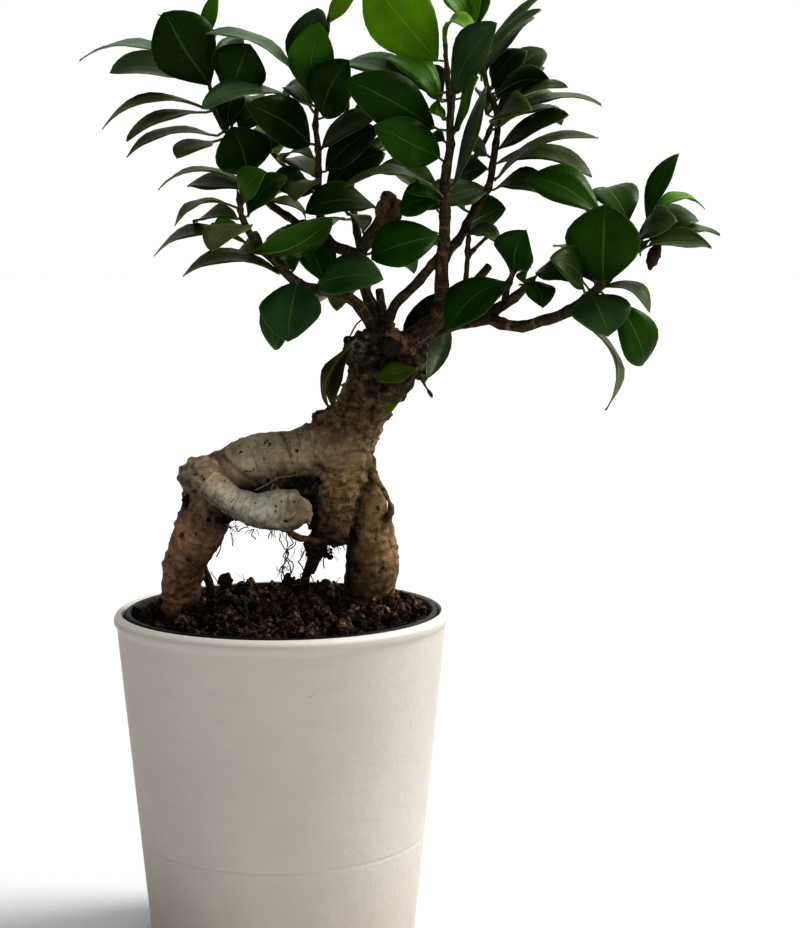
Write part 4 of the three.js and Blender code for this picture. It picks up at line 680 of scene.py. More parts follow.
def ringed_bark():
    """Thin bark of swollen ficus roots: matt, ringed across, with short dark cork dashes, and soil stains
    mixed with painted shade under the roots, in creases and along shaded edges.

    The grain attribute holds metres along and across each root, so rings follow the roots' bends, and
    clear fades them out where one root passes into the next.
    """
    material, tree, place = new_material("ringed_root_bark", {"IOR": 1.4, "Specular IOR Level": 0.35})
    grain = add_node(tree, "Attribute", {}, "Vector", attribute_name="grain")
    tint = add_node(tree, "Attribute", {}, "Color", attribute_name="tint")
    stain_and_shade, rough, clear = (
        add_node(tree, "Attribute", {}, "Fac", attribute_name=name) for name in ("stain_and_shade", "rough", "clear")
    )
    ring_course, dash_course, fibre_course = (
        add_node(tree, "Mapping", {"Vector": grain, "Scale": stretch})
        for stretch in ((1, 0.13, 0.13), (1, 0.3, 0.3), (0.22, 1, 1))
    )
    strays = add_node(tree, "VectorMath", {0: place, "Scale": 0.3}, operation="SCALE")
    dash_course = add_node(tree, "VectorMath", {0: dash_course, 1: strays}, operation="ADD")
    rings, dashes, fibres, patches, mottles, pores = (
        add_node(tree, "TexNoise", {"Vector": course, "Scale": 1 / (width * MM), "Detail": detail})
        for course, width, detail in (
            (ring_course, 1.3, 3), (dash_course, 1.2, 2), (fibre_course, 1.1, 3), (place, 12, 4),
            (place, 2.4, 6), (place, 0.8, 2),
        )
    )
    rings, dashes, fibres = (
        add_node(tree, "Mix", {0: clear, 2: 0.5, 3: pattern}) for pattern in (rings, dashes, fibres)
    )
    dark = add_node(tree, "Mix", {0: 0.62, 6: tint, 7: "2a1e16"}, 2, data_type="RGBA")
    pale = add_node(tree, "Mix", {0: 0.4, 6: tint, 7: "c4b9a2"}, 2, data_type="RGBA")
    blotches = add_node(tree, "MapRange", {0: mottles, 1: 0.3, 2: 0.62, 3: 0.75, 4: 1.12})
    base = coloured(tree, tint, [
        (patches, 0.4, 0.68, 0.6, dark),
        (fibres, 0.52, 0.72, 0.4, pale),
        (rings, 0.54, 0.68, 0.45, pale),
        (rings, 0.46, 0.34, 0.6, dark),
        (mottles, 0.5, 0.64, 1, dark, rough),
        (mottles, 0.42, 0.3, 0.6, pale, rough),
        (dashes, 0.65, 0.69, 0.85, "1f150e"),
        # Soil stains and painted shade, stored on the vertices, darken the bark towards near black
        (stain_and_shade, 0, 1, 1, "1a1007", blotches),
    ])
    gloss = add_node(tree, "MapRange", {0: mottles, 1: 0.3, 2: 0.7, 3: 0.7, 4: 0.92})
    warts = add_node(tree, "Math", {0: mottles, 1: rough}, operation="MULTIPLY")
    return finished(material, base, [(rings, 0.6), (warts, 1.3), (fibres, 0.25), (pores, 0.15)], gloss)


def young_bark():
    """Bark of young ficus stems: dark, rough, with paler leaf scars, greener above, red on the burl."""
    material, tree, place = new_material("young_stem_bark", {"IOR": 1.4})
    grain = add_node(tree, "Attribute", {}, "Vector", attribute_name="grain")
    youth, burl = (
        add_node(tree, "Attribute", {}, "Fac", attribute_name=name) for name in ("youth", "burl")
    )
    scar_course, peel_course = (
        add_node(tree, "Mapping", {"Vector": grain, "Scale": stretch})
        for stretch in ((1, 0.15, 0.15), (0.3, 1, 1))
    )
    scars, peeling, specks = (
        add_node(tree, "TexNoise", {"Vector": course, "Scale": 1 / (width * MM), "Detail": detail})
        for course, width, detail in ((scar_course, 2.4, 3), (peel_course, 1.4, 4), (place, 1.1, 5))
    )
    resin = coloured(tree, "8a5444", [(specks, 0.35, 0.7, 1, "3a241c")])
    base = coloured(tree, "3b2d1d", [
        (youth, 0, 1, 1, "424625"),
        (peeling, 0.5, 0.66, 0.7, "75603f"),
        (scars, 0.57, 0.68, 0.6, "8d7c5f"),
        (scars, 0.44, 0.32, 0.8, "20160e"),
        (specks, 0.5, 0.64, 0.75, "20160e"),
        (burl, 0, 1, 1, resin),
    ])
    gloss = add_node(tree, "MapRange", {0: burl, 3: 0.78, 4: 0.3})
    return finished(material, base, [(scars, 0.5), (peeling, 0.4), (specks, 0.4)], gloss)


def cut_wood():
    """An old pruning cut: weathered end grain, grey-brown and cracked, paler round its lip."""
    material, tree, place = new_material("weathered_cut_wood", {"Roughness": 0.85, "IOR": 1.4})
    tint = add_node(tree, "Attribute", {}, "Color", attribute_name="tint")
    swept = add_node(tree, "Mapping", {"Vector": place, "Scale": (1.5, 1, 0.4)})
    cracks = add_node(tree, "TexNoise", {"Vector": swept, "Scale": 1 / (1.6 * MM), "Detail": 6})
    return finished(material, coloured(tree, tint, [(cracks, 0.46, 0.6, 0.9, "1a110b")]), [(cracks, -0.9)])


def leaf_course(tree):
    """Where each point is along its leaf, how far it is from the midrib to the edge, and the side veins.

    The UV map runs from the leaf's base to its tip and from side to side, so veins follow the blade.
    """
    on_leaf = add_node(tree, "UVMap", {})
    along, across = (add_node(tree, "SeparateXYZ", {"Vector": on_leaf}, axis) for axis in "XY")
    side = add_node(tree, "MapRange", {0: across, 3: -1, 4: 1})
    side = add_node(tree, "Math", {0: side}, operation="ABSOLUTE")
    slant = add_node(tree, "Math", {0: side, 1: -2.6}, operation="MULTIPLY")
    course = add_node(tree, "Math", {0: along, 1: VEINS_ALONG_LEAF, 2: slant}, operation="MULTIPLY_ADD")
    between = add_node(tree, "Math", {0: course, 1: 0.5}, operation="PINGPONG")
    return along, side, add_node(tree, "MapRange", {0: between, 1: 0.12, 2: 0.02})


def leaf_upper():
    """Waxy upper skin of a ficus leaf: smooth, half glossy, with a pale midrib in a groove, faint veins,
    a paler edge and a few grains of dust."""
    material, tree, place = new_material(
        "ficus_leaf_upper", {"IOR": 1.4, "Specular IOR Level": 0.22, "Specular Tint": (0.9, 1, 0.65, 1)}
    )
    tint = add_node(tree, "Attribute", {}, "Color", attribute_name="tint")
    along, side, veins = leaf_course(tree)
    half_width = add_node(tree, "MapRange", {0: along, 3: 0.07, 4: 0.025})
    share = add_node(tree, "Math", {0: side, 1: half_width}, operation="DIVIDE")
    midrib = add_node(tree, "MapRange", {0: share, 1: 1.0, 2: 0.35})
    clouds, fine, dust = (
        add_node(tree, "TexNoise", {"Vector": place, "Scale": 1 / (width * MM), "Detail": detail})
        for width, detail in ((14, 3), (1.5, 3), (0.9, 1))
    )
    light = add_node(tree, "MapRange", {0: clouds, 1: 0.3, 2: 0.7, 3: 0.62, 4: 1.1})
    base = add_node(tree, "VectorMath", {0: tint, "Scale": light}, operation="SCALE")
    pale = add_node(tree, "Mix", {0: 0.5, 6: tint, 7: "9db25a"}, 2, data_type="RGBA")
    base = coloured(tree, base, [
        (veins, 0, 1, 0.035, pale),
        (midrib, 0, 1, 0.34, pale),
        (side, 0.93, 1, 0.35, pale),
        (dust, 0.77, 0.81, 0.3, "b9c2b0"),
    ])
    gloss = add_node(tree, "MapRange", {0: fine, 1: 0.3, 2: 0.7, 3: 0.32, 4: 0.46})
    return finished(material, base, [(midrib, -0.14), (veins, -0.012), (fine, 0.05)], gloss)


def leaf_lower():
    """Lower skin of a ficus leaf: duller and more olive, with a raised midrib."""
    shader_values = {"Roughness": 0.75, "IOR": 1.4, "Specular IOR Level": 0.06}
    material, tree, place = new_material("ficus_leaf_lower", shader_values)
    tint = add_node(tree, "Attribute", {}, "Color", attribute_name="tint")
    _, side, veins = leaf_course(tree)
    midrib = add_node(tree, "MapRange", {0: side, 1: 0.07, 2: 0.02})
    clouds = add_node(tree, "TexNoise", {"Vector": place, "Scale": 1 / (10 * MM), "Detail": 3})
    olive = add_node(tree, "Mix", {0: 0.55, 6: tint, 7: "4d5a22"}, 2, data_type="RGBA")
    light = add_node(tree, "MapRange", {0: clouds, 1: 0.3, 2: 0.7, 3: 0.8, 4: 1.1})
    base = add_node(tree, "VectorMath", {0: olive, "Scale": light}, operation="SCALE")
    base = coloured(tree, base, [(veins, 0, 1, 0.06, "8f9e6c"), (midrib, 0, 1, 0.4, "98a35e")])
    return finished(material, base, [(midrib, 0.25), (veins, 0.02)])


def leaf_stalk():
    """Leaf stalk and midrib: smooth yellow-green, browner in patches."""
    material, tree, place = new_material("leaf_stalk", {"Roughness": 0.5, "IOR": 1.4})
    tint = add_node(tree, "Attribute", {}, "Color", attribute_name="tint")
    mottle = add_node(tree, "TexNoise", {"Vector": place, "Scale": 1 / (2 * MM), "Detail": 3})
    base = add_node(tree, "Mix", {0: 0.5, 6: tint, 7: "7d8a3c"}, 2, data_type="RGBA")
    return finished(material, coloured(tree, base, [(mottle, 0.5, 0.7, 0.4, "5d5a30")]))


def studio_paper():
    """Pale matt paper of a photo studio's floor, with an even, faint grain."""
    material, tree, place = new_material("studio_paper", {"Roughness": 0.9})
    grain = add_node(tree, "TexNoise", {"Vector": place, "Scale": 1 / (6 * MM), "Detail": 3})
    return finished(material, coloured(tree, "e9e9eb", [(grain, 0, 1, 1, "ededef")]))


# Modelling


def select_only(*pieces):
    """Selects these pieces alone, with the first one active."""
    bpy.ops.object.select_all(action="DESELECT")
    for piece in pieces:
        piece.select_set(True)
    bpy.context.view_layer.objects.active = pieces[0]


def named(name):
    """The piece just added, with its name."""
    piece = bpy.context.active_object
    piece.name = piece.data.name = name
    return piece


def started(name, add, **settings):
    """A new piece, begun with one of Blender's operators and selected alone."""
    bpy.ops.object.select_all(action="DESELECT")
    add(**settings)
    return named(name)


def modified(piece, kind, **settings):
    """Applies one modifier to a piece."""
    select_only(piece)
    modifier = piece.modifiers.new(kind.title(), kind)
    for name, value in settings.items():
        setattr(modifier, name, value)
    bpy.ops.object.modifier_apply(modifier=modifier.name)


def joined(pieces, name):
    """Several pieces as one."""
    select_only(*pieces)
    if len(pieces) > 1:
        bpy.ops.object.join()
    return named(name)


def vertices_of(piece):
    """A piece's vertices in millimetres."""
    places = np.empty(3 * len(piece.data.vertices))
    piece.data.vertices.foreach_get("co", places)
    return places.reshape(-1, 3) / MM


def normals_of(piece):
    normals = np.empty(3 * len(piece.data.vertices))
    piece.data.vertex_normals.foreach_get("vector", normals)
    return normals.reshape(-1, 3)


def move_vertices(piece, places):
    piece.data.vertices.foreach_set("co", (np.asarray(places) * MM).ravel())
    piece.data.update()


def swell(piece, heights):
    """Moves a piece's skin outwards by so many millimetres at each vertex."""
    move_vertices(piece, vertices_of(piece) + normals_of(piece) * heights[:, None])


def paint(piece, name, values):
    """Stores a value at each vertex: a number, a direction or a colour."""
    values = np.asarray(values, dtype=float)
    width = values.shape[1] if values.ndim > 1 else 1
    kind, key = {1: ("FLOAT", "value"), 3: ("FLOAT_VECTOR", "vector"), 4: ("FLOAT_COLOR", "color")}[width]
    piece.data.attributes.new(name, kind, "POINT").data.foreach_set(key, values.ravel())


def with_alpha(colours):
    return np.hstack([colours, np.ones((len(colours), 1))])


def even_colour(piece, colour):
    paint(piece, "tint", np.tile([*colour, 1.0], (len(piece.data.vertices), 1)))


def add_materials(piece, materials):
    for material in materials:
        piece.data.materials.append(material)


def finish_piece(piece, materials, node=None, smooth_angle=None):
    """Gives a piece its materials and smooth shading, puts it on the root body that it moves with, and hides
    the CAD node that it takes the place of.
    """
    piece.data.materials.clear()
    add_materials(piece, materials)
    select_only(piece)
    if smooth_angle is None:
        bpy.ops.object.shade_smooth()
    else:
        bpy.ops.object.shade_smooth_by_angle(angle=math.radians(smooth_angle))
    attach(piece, ROOT_BODY)
    if node:
        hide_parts(node)


def softened(profile):
    """A profile of (radius, z, corner), with each corner rounded off over that many millimetres."""
    points = []
    for i, (radius, z, corner) in enumerate(profile):
        here = np.array([radius, z], dtype=float)
        if corner == 0:
            points.append(here)
            continue
        start, end = (here + unit(np.array(profile[k][:2]) - here) * corner for k in (i - 1, i + 1))
        for t in (k / 5 for k in range(6)):
            points.append(start * (1 - t) ** 2 + 2 * here * t * (1 - t) + end * t * t)
    return points


def turned(name, profile, steps):
    """A closed shape spun round the upright axis from a profile of (radius, z)."""
    piece = started(name, bpy.ops.mesh.primitive_plane_add, size=MM)
    bpy.ops.object.mode_set(mode="EDIT")
    bpy.ops.mesh.merge(type="CENTER")
    bpy.ops.transform.translate(value=(profile[0][0] * MM, 0, profile[0][1] * MM))
    for here, there in zip(profile, profile[1:]):
        step = ((there[0] - here[0]) * MM, 0, (there[1] - here[1]) * MM)
        bpy.ops.mesh.extrude_region_move(TRANSFORM_OT_translate={"value": step})
    bpy.ops.mesh.select_all(action="SELECT")
    bpy.ops.mesh.spin(steps=steps, angle=2 * math.pi, center=(0, 0, 0), axis=(0, 0, 1))
    bpy.ops.mesh.select_all(action="SELECT")
    bpy.ops.mesh.remove_doubles(threshold=0.002 * MM)
    bpy.ops.mesh.normals_make_consistent(inside=False)
    bpy.ops.object.mode_set(mode="OBJECT")
    return piece


def with_round_ends(rows):
    """Rows of (centre, radius) with a half round added at both ends."""
    first, last = [], []
    for k in (1, 2, 3):
        out, share = math.sin(k * 0.5), math.cos(k * 0.5)
        for ends, (end, radius), (inner, _) in ((first, rows[0], rows[1]), (last, rows[-1], rows[-2])):
            ends.append((end + unit(end - inner) * radius * out * 0.8, radius * share))
    return [*reversed(first), *rows, *last]


def tubes(name, runs, resolution):
    """Round tubes through runs of (centre, radius), as one piece."""
    curve = started(name, bpy.ops.curve.primitive_nurbs_path_add).data
    curve.splines.clear()
    for rows in runs:
        spline = curve.splines.new("POLY")
        spline.points.add(len(rows) - 1)
        for point, (centre, radius) in zip(spline.points, rows):
            point.co = (*(np.asarray(centre) * MM), 1)
            point.radius = radius
    curve.dimensions = "3D"
    curve.bevel_depth = MM
    curve.bevel_resolution = resolution
    curve.use_fill_caps = True
    bpy.ops.object.convert(target="MESH")
    return named(name)


def along_limbs(points, limbs):
    """How far each point is from each limb's skin, its place in millimetres along and across the nearest
    limb, and its share of that limb's length."""
    nearest = np.full(len(points), np.inf)
    gaps = np.full((len(limbs), len(points)), np.inf)
    grain = np.zeros((len(points), 3))
    shares = np.zeros(len(points))
    for number, rows in enumerate(limbs):
        side = np.array([0.13, 0.21, 1.0])
        total = sum(np.linalg.norm(b[0] - a[0]) for a, b in zip(rows, rows[1:]))
        length = 0.0
        for order, ((start, radius), (end, next_radius)) in enumerate(zip(rows, rows[1:])):
            size = np.linalg.norm(end - start)
            tangent = (end - start) / size
            side = unit(side - side @ tangent * tangent)
            offset = points - start
            run_on = offset @ tangent / size
            share = np.clip(run_on, 0, 1)
            offset = offset - np.outer(share * size, tangent)
            gap = np.linalg.norm(offset, axis=1) - (radius + (next_radius - radius) * share)
            gaps[number] = np.minimum(gaps[number], gap)
            nearer = gap < nearest
            nearest[nearer] = gap[nearer]
            run_on = np.clip(run_on, 0 if order else -9, 9 if order == len(rows) - 2 else 1)
            along = length + run_on * size
            place = [along + GRAIN_STEP * number, offset @ side, offset @ np.cross(tangent, side)]
            grain[nearer] = np.stack(place, axis=1)[nearer]
            shares[nearer] = np.clip(along / total, 0, 1)[nearer]
            length += size
    return gaps, grain, shares


def noise_at(points, size_mm, seed=0.0):
    """Smooth noise between -1 and 1 whose lumps are about that many millimetres across."""
    shift = Vector((seed, 0.7 * seed, 1.3 * seed))
    return np.array([noise.noise(Vector(p) / size_mm + shift) for p in points])


# Leaves. A blade runs from its start to its tip, with its upper face on the side of its normal.


def make_blade(root, start, tip, facing, width, arch, tone):
    length = np.linalg.norm(tip - start)
    along = (tip - start) / length
    normal = unit(facing - facing @ along * along)
    return {
        "root": root, "start": start, "along": along, "across": np.cross(normal, along), "normal": normal,
        "length": length, "width": width, "arch": arch, "tone": tone,
    }


def solid_corners(blade):
    """The corners of a blade's solid past its base."""
    corners = []
    for s in (0.3, 0.7, 1.0):
        half = max(blade["width"] / 2 * max(math.sin(math.pi * s**1.15), 0.0) ** 0.62, PETIOLE_WIDTH / 2)
        rise = 0 if s >= 1 else 4 * blade["arch"] * s * (1 - s)
        centre = blade["start"] + s * blade["length"] * blade["along"] + rise * blade["normal"]
        corners += [
            centre + side * half * blade["across"] + face * BLADE_THICKNESS / 2 * blade["normal"]
            for side in (-1, 1) for face in (-1, 1)
        ]
    return corners


def nearest_on_stem(stem, place, order):
    """Where a stalk leaves its stem, as (x, z, depth), nearest to a place seen on the leaf's side of it."""
    best_gap, best = math.inf, None
    for run in STEMS[stem].values():
        for (x0, z0, depth0, _), (x1, z1, depth1, _) in zip(run, run[1:]):
            dx, dz = x1 - x0, z1 - z0
            k = min(max(((place[0] - x0) * dx + (place[1] - z0) * dz) / (dx * dx + dz * dz), 0), 1)
            gap = math.hypot(place[0] - x0 - k * dx, place[1] - z0 - k * dz)
            if gap < best_gap:
                back = k * (1 - ROOT_SPREAD * (1 + order % 7))
                best_gap, best = gap, (x0 + back * dx, z0 + back * dz, depth0 + back * (depth1 - depth0))
    return best


def seen_blade(stem, order, leaf, lift, swing):
    base, tip, (deeper, width, face, arch, tone) = leaf[:2], leaf[2:4], leaf[4:]
    foot = nearest_on_stem(stem, base, order)
    start = seen(*base, foot[2] + lift)
    end = seen(*tip, foot[2] + lift + deeper + swing)
    along = unit(end - start)
    root = seen(*foot)
    root = root + along * min(0, (start - root) @ along - LEAST_PETIOLE)
    to_eye = EYE - start
    to_eye = unit(to_eye - to_eye @ along * along)
    up = np.cross(to_eye, along)
    if up[2] < 0:
        up = -up
    angle = math.radians(face)
    facing = to_eye * math.cos(angle) + up * math.sin(angle)
    return make_blade(root, start, end, facing, width, arch, tone)


def spiral_blade(run, t, turn, length, width, rise, arch, tone):
    at = t * (len(run) - 1)
    first = min(int(at), len(run) - 2)
    ends = [seen(*row[:3]) for row in run[first:first + 2]]
    tangent = unit(ends[1] - ends[0])
    point = ends[0] + (at - first) * (ends[1] - ends[0])
    side = np.array([math.cos(turn), math.sin(turn), 0.0])
    side = unit(side - side @ tangent * tangent)
    out = unit(side * math.cos(rise) + np.array([0, 0, math.sin(rise)]))
    start = point + FILLER_STALK * out
    tip = start + length * out
    tip[2] -= 0.12 * length
    return make_blade(point, start, tip, np.array([0.0, 0.0, 1.0]), width, arch, tone)


def steps(count, size):
    """Steps away from the wanted place: none, then further and further to either side."""
    return [0.0] + [side * k * size for k in range(1, count + 1) for side in (1, -1)]


def corners_of_node(name):
    """A search tree of a CAD node's corners."""
    places = vertices_of(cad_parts[name])
    tree = kdtree.KDTree(len(places))
    for number, place in enumerate(places):
        tree.insert(place, number)
    tree.balance()
    return tree


def best_fitting(blades, tree):
    """The blade that the solid leaf on this node has, or None where the node has no such leaf."""
    best_count, best = LEAST_CORNERS - 1, None
    for blade in blades:
        corners = solid_corners(blade)
        count = sum(tree.find(Vector(corner))[2] < CORNER_GAP for corner in corners)
        if count > best_count:
            best_count, best = count, blade
        if count == len(corners):
            break
    return best


def placed_blades():
    """Every leaf of every stem, where the solids have it."""
    trees = {stem: corners_of_node(node) for stem, node in STEM_NODES.items()}
    blades = {stem: [] for stem in STEM_NODES}
    for stem, leaves in SEEN_LEAVES.items():
        for order, leaf in enumerate(leaves):
            tries = (
                seen_blade(stem, order, leaf, lift, swing)
                for lift in steps(3, 2.5) for swing in steps(6, 5.0)
            )
            blades[stem].append(best_fitting(tries, trees[stem]))
    state = FILLER_SEED

    def draw():
        nonlocal state
        state = state * DRAW_FACTOR % DRAW_RANGE
        return state / DRAW_RANGE

    for stem, part, first, last, count in FILLED_STEMS:
        for i in range(count):
            t = first + (last - first) * i / (count - 1)
            turn = FILLER_TURN * i + 0.5 * draw()
            length = 27 + 9 * draw()
            width = length * (0.48 + 0.1 * draw())
            rise = 0.15 + 0.6 * draw() * t
            arch = 2 + 2 * draw()
            tone = YOUNG if i > count - 4 else (OLD, MATURE, OLD, BLUISH, MATURE)[i % 5]
            tries = (
                spiral_blade(STEMS[stem][part], t, turn + away, length, width, rise, arch, tone)
                for away in steps(5, 0.55)
            )
            blades[stem].append(best_fitting(tries, trees[stem]))
    return {stem: [blade for blade in found if blade] for stem, found in blades.items()}


def leaf_template():
    """A flat leaf to copy: -1 to 1 along and across, with an upper face, a lower face and an edge."""
    grid = {"x_subdivisions": 12, "y_subdivisions": 4, "size": 2}
    template = started("leaf_template", bpy.ops.mesh.primitive_grid_add, **grid)
    modified(
        template, "SOLIDIFY", thickness=0.1, offset=0.0, use_even_offset=False,
        material_offset=1, material_offset_rim=2,
    )
    return template


def stalk_template():
    """A plain stalk to copy: 0 to 1 long, with a radius of 1."""
    rod = {"vertices": 5, "radius": 1, "depth": 1, "location": (0, 0, 0.5)}
    template = started("stalk_template", bpy.ops.mesh.primitive_cylinder_add, **rod)
    bpy.ops.object.transform_apply(location=True)
    bpy.ops.object.mode_set(mode="EDIT")
    bpy.ops.mesh.select_all(action="DESELECT")
    shape = bmesh.from_edit_mesh(template.data)
    for edge in shape.edges:
        if abs(edge.verts[0].co.z - edge.verts[1].co.z) > 0.5:
            edge.select_set(True)
    bmesh.update_edit_mesh(template.data)
    bpy.ops.mesh.subdivide(number_cuts=8)
    bpy.ops.object.mode_set(mode="OBJECT")
    return template


def copy_of(template, name):
    """A copy with its own mesh."""
    piece = bpy.data.objects.new(name, template.data.copy())
    bpy.context.scene.collection.objects.link(piece)
    return piece


def blade_surface(blade, s, v, chance):
    """Places on the middle of a finished blade, at shares s along it and v across it."""
    blunt = 1.12 + 0.45 * max(blade["width"] / blade["length"] - 0.45, 0)
    half = blade["width"] / 2 * np.maximum(np.sin(np.pi * np.clip(s, 0, 1) ** blunt), 0) ** 0.7
    half = half + 0.25 * np.exp(-(s / 0.03)) + 0.12
    fold = (0.16 + 0.22 * chance[0]) * (1.3 if blade["tone"] in (YOUNG, LIME) else 1.0)
    if blade["tone"] == DRY:
        fold = 0.9
    lateral = np.abs(v)
    height = 4 * blade["arch"] * s * (1 - s)
    height += fold * half * (lateral**1.4) * 0.55
    height -= (0.4 + 1.2 * chance[1]) * np.maximum(s - 0.72, 0) ** 2 * 12
    height += (0.25 + 0.35 * chance[2]) * np.sin(s * (8 + 5 * chance[3]) + 6 * chance[4] + 2 * v) * lateral**2
    sideways = (chance[5] - 0.5) * 0.08 * blade["length"] * np.sin(np.pi * s) ** 2
    place = blade["start"] + np.outer(s * blade["length"], blade["along"])
    place = place + np.outer(v * half * (1 - 0.08 * fold) + sideways, blade["across"])
    return place + np.outer(height, blade["normal"])


def leaf_piece(template, blade, tint, thickness, chance):
    piece = copy_of(template, "leaf")
    local = vertices_of(template) * MM
    s = (local[:, 0] + 1) / 2
    s = 0.35 * s + 0.65 * (0.5 - 0.5 * np.cos(np.pi * s))
    v = local[:, 1]
    thin = thickness / MM * (1 - 0.55 * np.abs(v) ** 3)
    places = blade_surface(blade, s, v, chance)
    move_vertices(piece, places + np.outer(np.sign(local[:, 2]) * thin / 2, blade["normal"]))
    loops = np.empty(len(piece.data.loops), dtype=np.int32)
    piece.data.loops.foreach_get("vertex_index", loops)
    on_leaf = np.stack([s[loops], v[loops] / 2 + 0.5], axis=1)
    piece.data.uv_layers.active.data.foreach_set("uv", on_leaf.ravel())
    even_colour(piece, tint)
    return piece


def stalk_piece(template, blade, tint, chance):
    """The stalk and, below the blade, the midrib."""
    piece = copy_of(template, "stalk")
    local = vertices_of(template) * MM
    petiole = np.linalg.norm(blade["start"] - blade["root"])
    along = local[:, 2] * (petiole + 0.8 * blade["length"])
    s = np.maximum(along - petiole, 0) / blade["length"]
    share = np.clip(along / petiole, 0, 1)
    free = blade["root"] + np.outer(share, blade["start"] - blade["root"])
    free[:, 2] -= 0.5 * np.sin(np.pi * share)
    on_blade = blade_surface(blade, s, np.zeros(len(s)), chance)
    centre = np.where(along[:, None] > petiole, on_blade, free)
    centre = centre - np.outer(np.where(along > petiole, 0.18, 0.0), blade["normal"])
    radius = np.where(along < petiole, 0.62 - 0.14 * share, 0.42 * (1 - s / 0.9) + 0.1)
    places = centre + np.outer(local[:, 0] * radius, blade["across"])
    move_vertices(piece, places + np.outer(local[:, 1] * radius, blade["normal"]))
    even_colour(piece, tint)
    return piece


def leaf_tint(stem, blade, chance, variety):
    """A leaf's colour: its age's, a little lighter or darker and yellower or bluer, darker at the back of the
    crown as painted shade, and paler with a painted grey sheen where it stands with its edge towards the
    front."""
    red, green, blue = srgb(SPROUT_COLOURS.get(stem, LEAF_COLOURS[blade["tone"]]))
    light = 1 + variety * (2 * chance[6] - 1)
    warm = 1 + 0.12 * (2 * chance[7] - 1)
    tint = (min(red * light * warm, 1), min(green * light, 1), min(blue * light / warm, 1))
    x, y, z = blade["start"]
    # Painted shade: old and mature leaves at the back of the main and upper left crowns are darkened
    if blade["tone"] in (OLD, MATURE) and stem in ("main", "left_high") and y > 0:
        tint = tuple(0.6 * c for c in tint)
    # Painted sheen: paler the more the leaf turns its edge towards the eye
    if blade["tone"] in (OLD, MATURE, BLUISH):
        facing = abs(blade["normal"] @ unit(EYE - blade["start"]))
        painted_sheen = (0.8 if x < 30 else 0.55) * float(np.clip((0.62 - facing) / 0.4, 0, 1))
        sheen_colour = srgb(SHEEN_ABOVE if z > 325 else SHEEN_BELOW)
        tint = tuple(c + painted_sheen * (w - c) for c, w in zip(tint, sheen_colour))
    return tint


# What a user would change


def colour_choice(name, description, code):
    return bpy.props.FloatVectorProperty(
        name=name, description=description, subtype="COLOR", size=3, min=0, max=1, default=srgb(code)
    )


def size_choice(name, description, millimetres):
    return bpy.props.FloatProperty(
        name=name, description=description, unit="LENGTH", min=0.01 * MM, default=millimetres * MM
    )


def number_choice(name, description, most, usual):
    return bpy.props.IntProperty(name=name, description=description, min=0, max=most, default=usual)


class BonsaiSizes(bpy.types.PropertyGroup):
    blade_thickness: size_choice("Leaf thickness", "Thickness of a leaf in its middle", 0.5)
    bark_grain: size_choice("Bark mesh", "Distance between the points of the root bark's mesh", 0.8)
    hair_root: size_choice("Hair root", "Radius of the thin hair roots", 0.21)
    crumb: size_choice("Peat crumb", "Radius of a middling crumb of peat", 1.5)
    crumbs: number_choice("Crumbs", "Number of loose crumbs on the peat", 900, 760)
    fibres: number_choice("Fibres", "Number of loose fibres on the peat", 400, 100)


class BonsaiColours(bpy.types.PropertyGroup):
    slip: colour_choice("Slip", "Colour of the cover pot's matt slip", "c9c2b9")
    leaf_share: bpy.props.FloatProperty(
        name="Leaf variety", description="How much leaves of one age differ", subtype="FACTOR",
        min=0, max=0.6, default=0.2,
    )
    light: bpy.props.FloatProperty(
        name="Key light", description="Strength of the soft main light", min=0, default=2.1
    )


# Pieces


class BONSAI_OT_cover_pot(bpy.types.Operator):
    """Spin the cover pot with its rim bead, ring line and rounded foot"""

    bl_idname = "bonsai.cover_pot"
    bl_label = "Cover pot"

    def execute(self, context):
        foot, rim, ring = BASE_DIAMETER / 2, RIM_DIAMETER / 2, RING_LINE_HEIGHT
        slope = (rim - RIM_BEAD - foot) / POT_HEIGHT

        def wall(z):
            return foot + slope * z

        profile = softened([
            (0, 0, 0),
            (foot - 0.8, 0, 0.9),
            (wall(1.6), 1.6, 0.9),
            (wall(ring - 1.0), ring - 1.0, 0.4),
            (wall(ring) - 0.34, ring, 0.4),
            (wall(ring + 1.0), ring + 1.0, 0.4),
            (wall(120.5), 120.5, 2.0),
            (wall(124.6) - 0.15, 124.6, 1.2),
            (rim - 0.05, 126.8, 1.0),
            (rim - 0.4, POT_HEIGHT - 1.3, 1.0),
            (rim - 1.9, POT_HEIGHT + 0.4, 1.0),
            (rim - 3.0, POT_HEIGHT + 0.3, 0.5),
            (rim - 3.7, POT_HEIGHT - 1.6, 0.8),
            (foot - POT_WALL + 0.5, POT_FLOOR + 2, 2),
            (foot - POT_WALL - 2.5, POT_FLOOR, 2),
            (0, POT_FLOOR, 0),
        ])
        pot = turned("cover_pot_slip", profile, 144)
        ball = {"segments": 12, "ring_count": 8, "radius": NIB_RADIUS * MM}
        nib = started("slip_nib", bpy.ops.mesh.primitive_uv_sphere_add, **ball)
        bpy.ops.object.mode_set(mode="EDIT")
        bpy.ops.transform.resize(value=(1.25, 0.5, 0.8))
        bpy.ops.object.mode_set(mode="OBJECT")
        at = np.array([NIB_X, -math.sqrt(wall(NIB_HEIGHT) ** 2 - NIB_X**2), NIB_HEIGHT])
        move_vertices(nib, vertices_of(nib) + at)
        pot = joined([pot, nib], "cover_pot_slip")
        slip = slip_coated_earthenware(context.scene.bonsai_colours.slip)
        finish_piece(pot, [slip], node="cover_pot", smooth_angle=40)
        return {"FINISHED"}


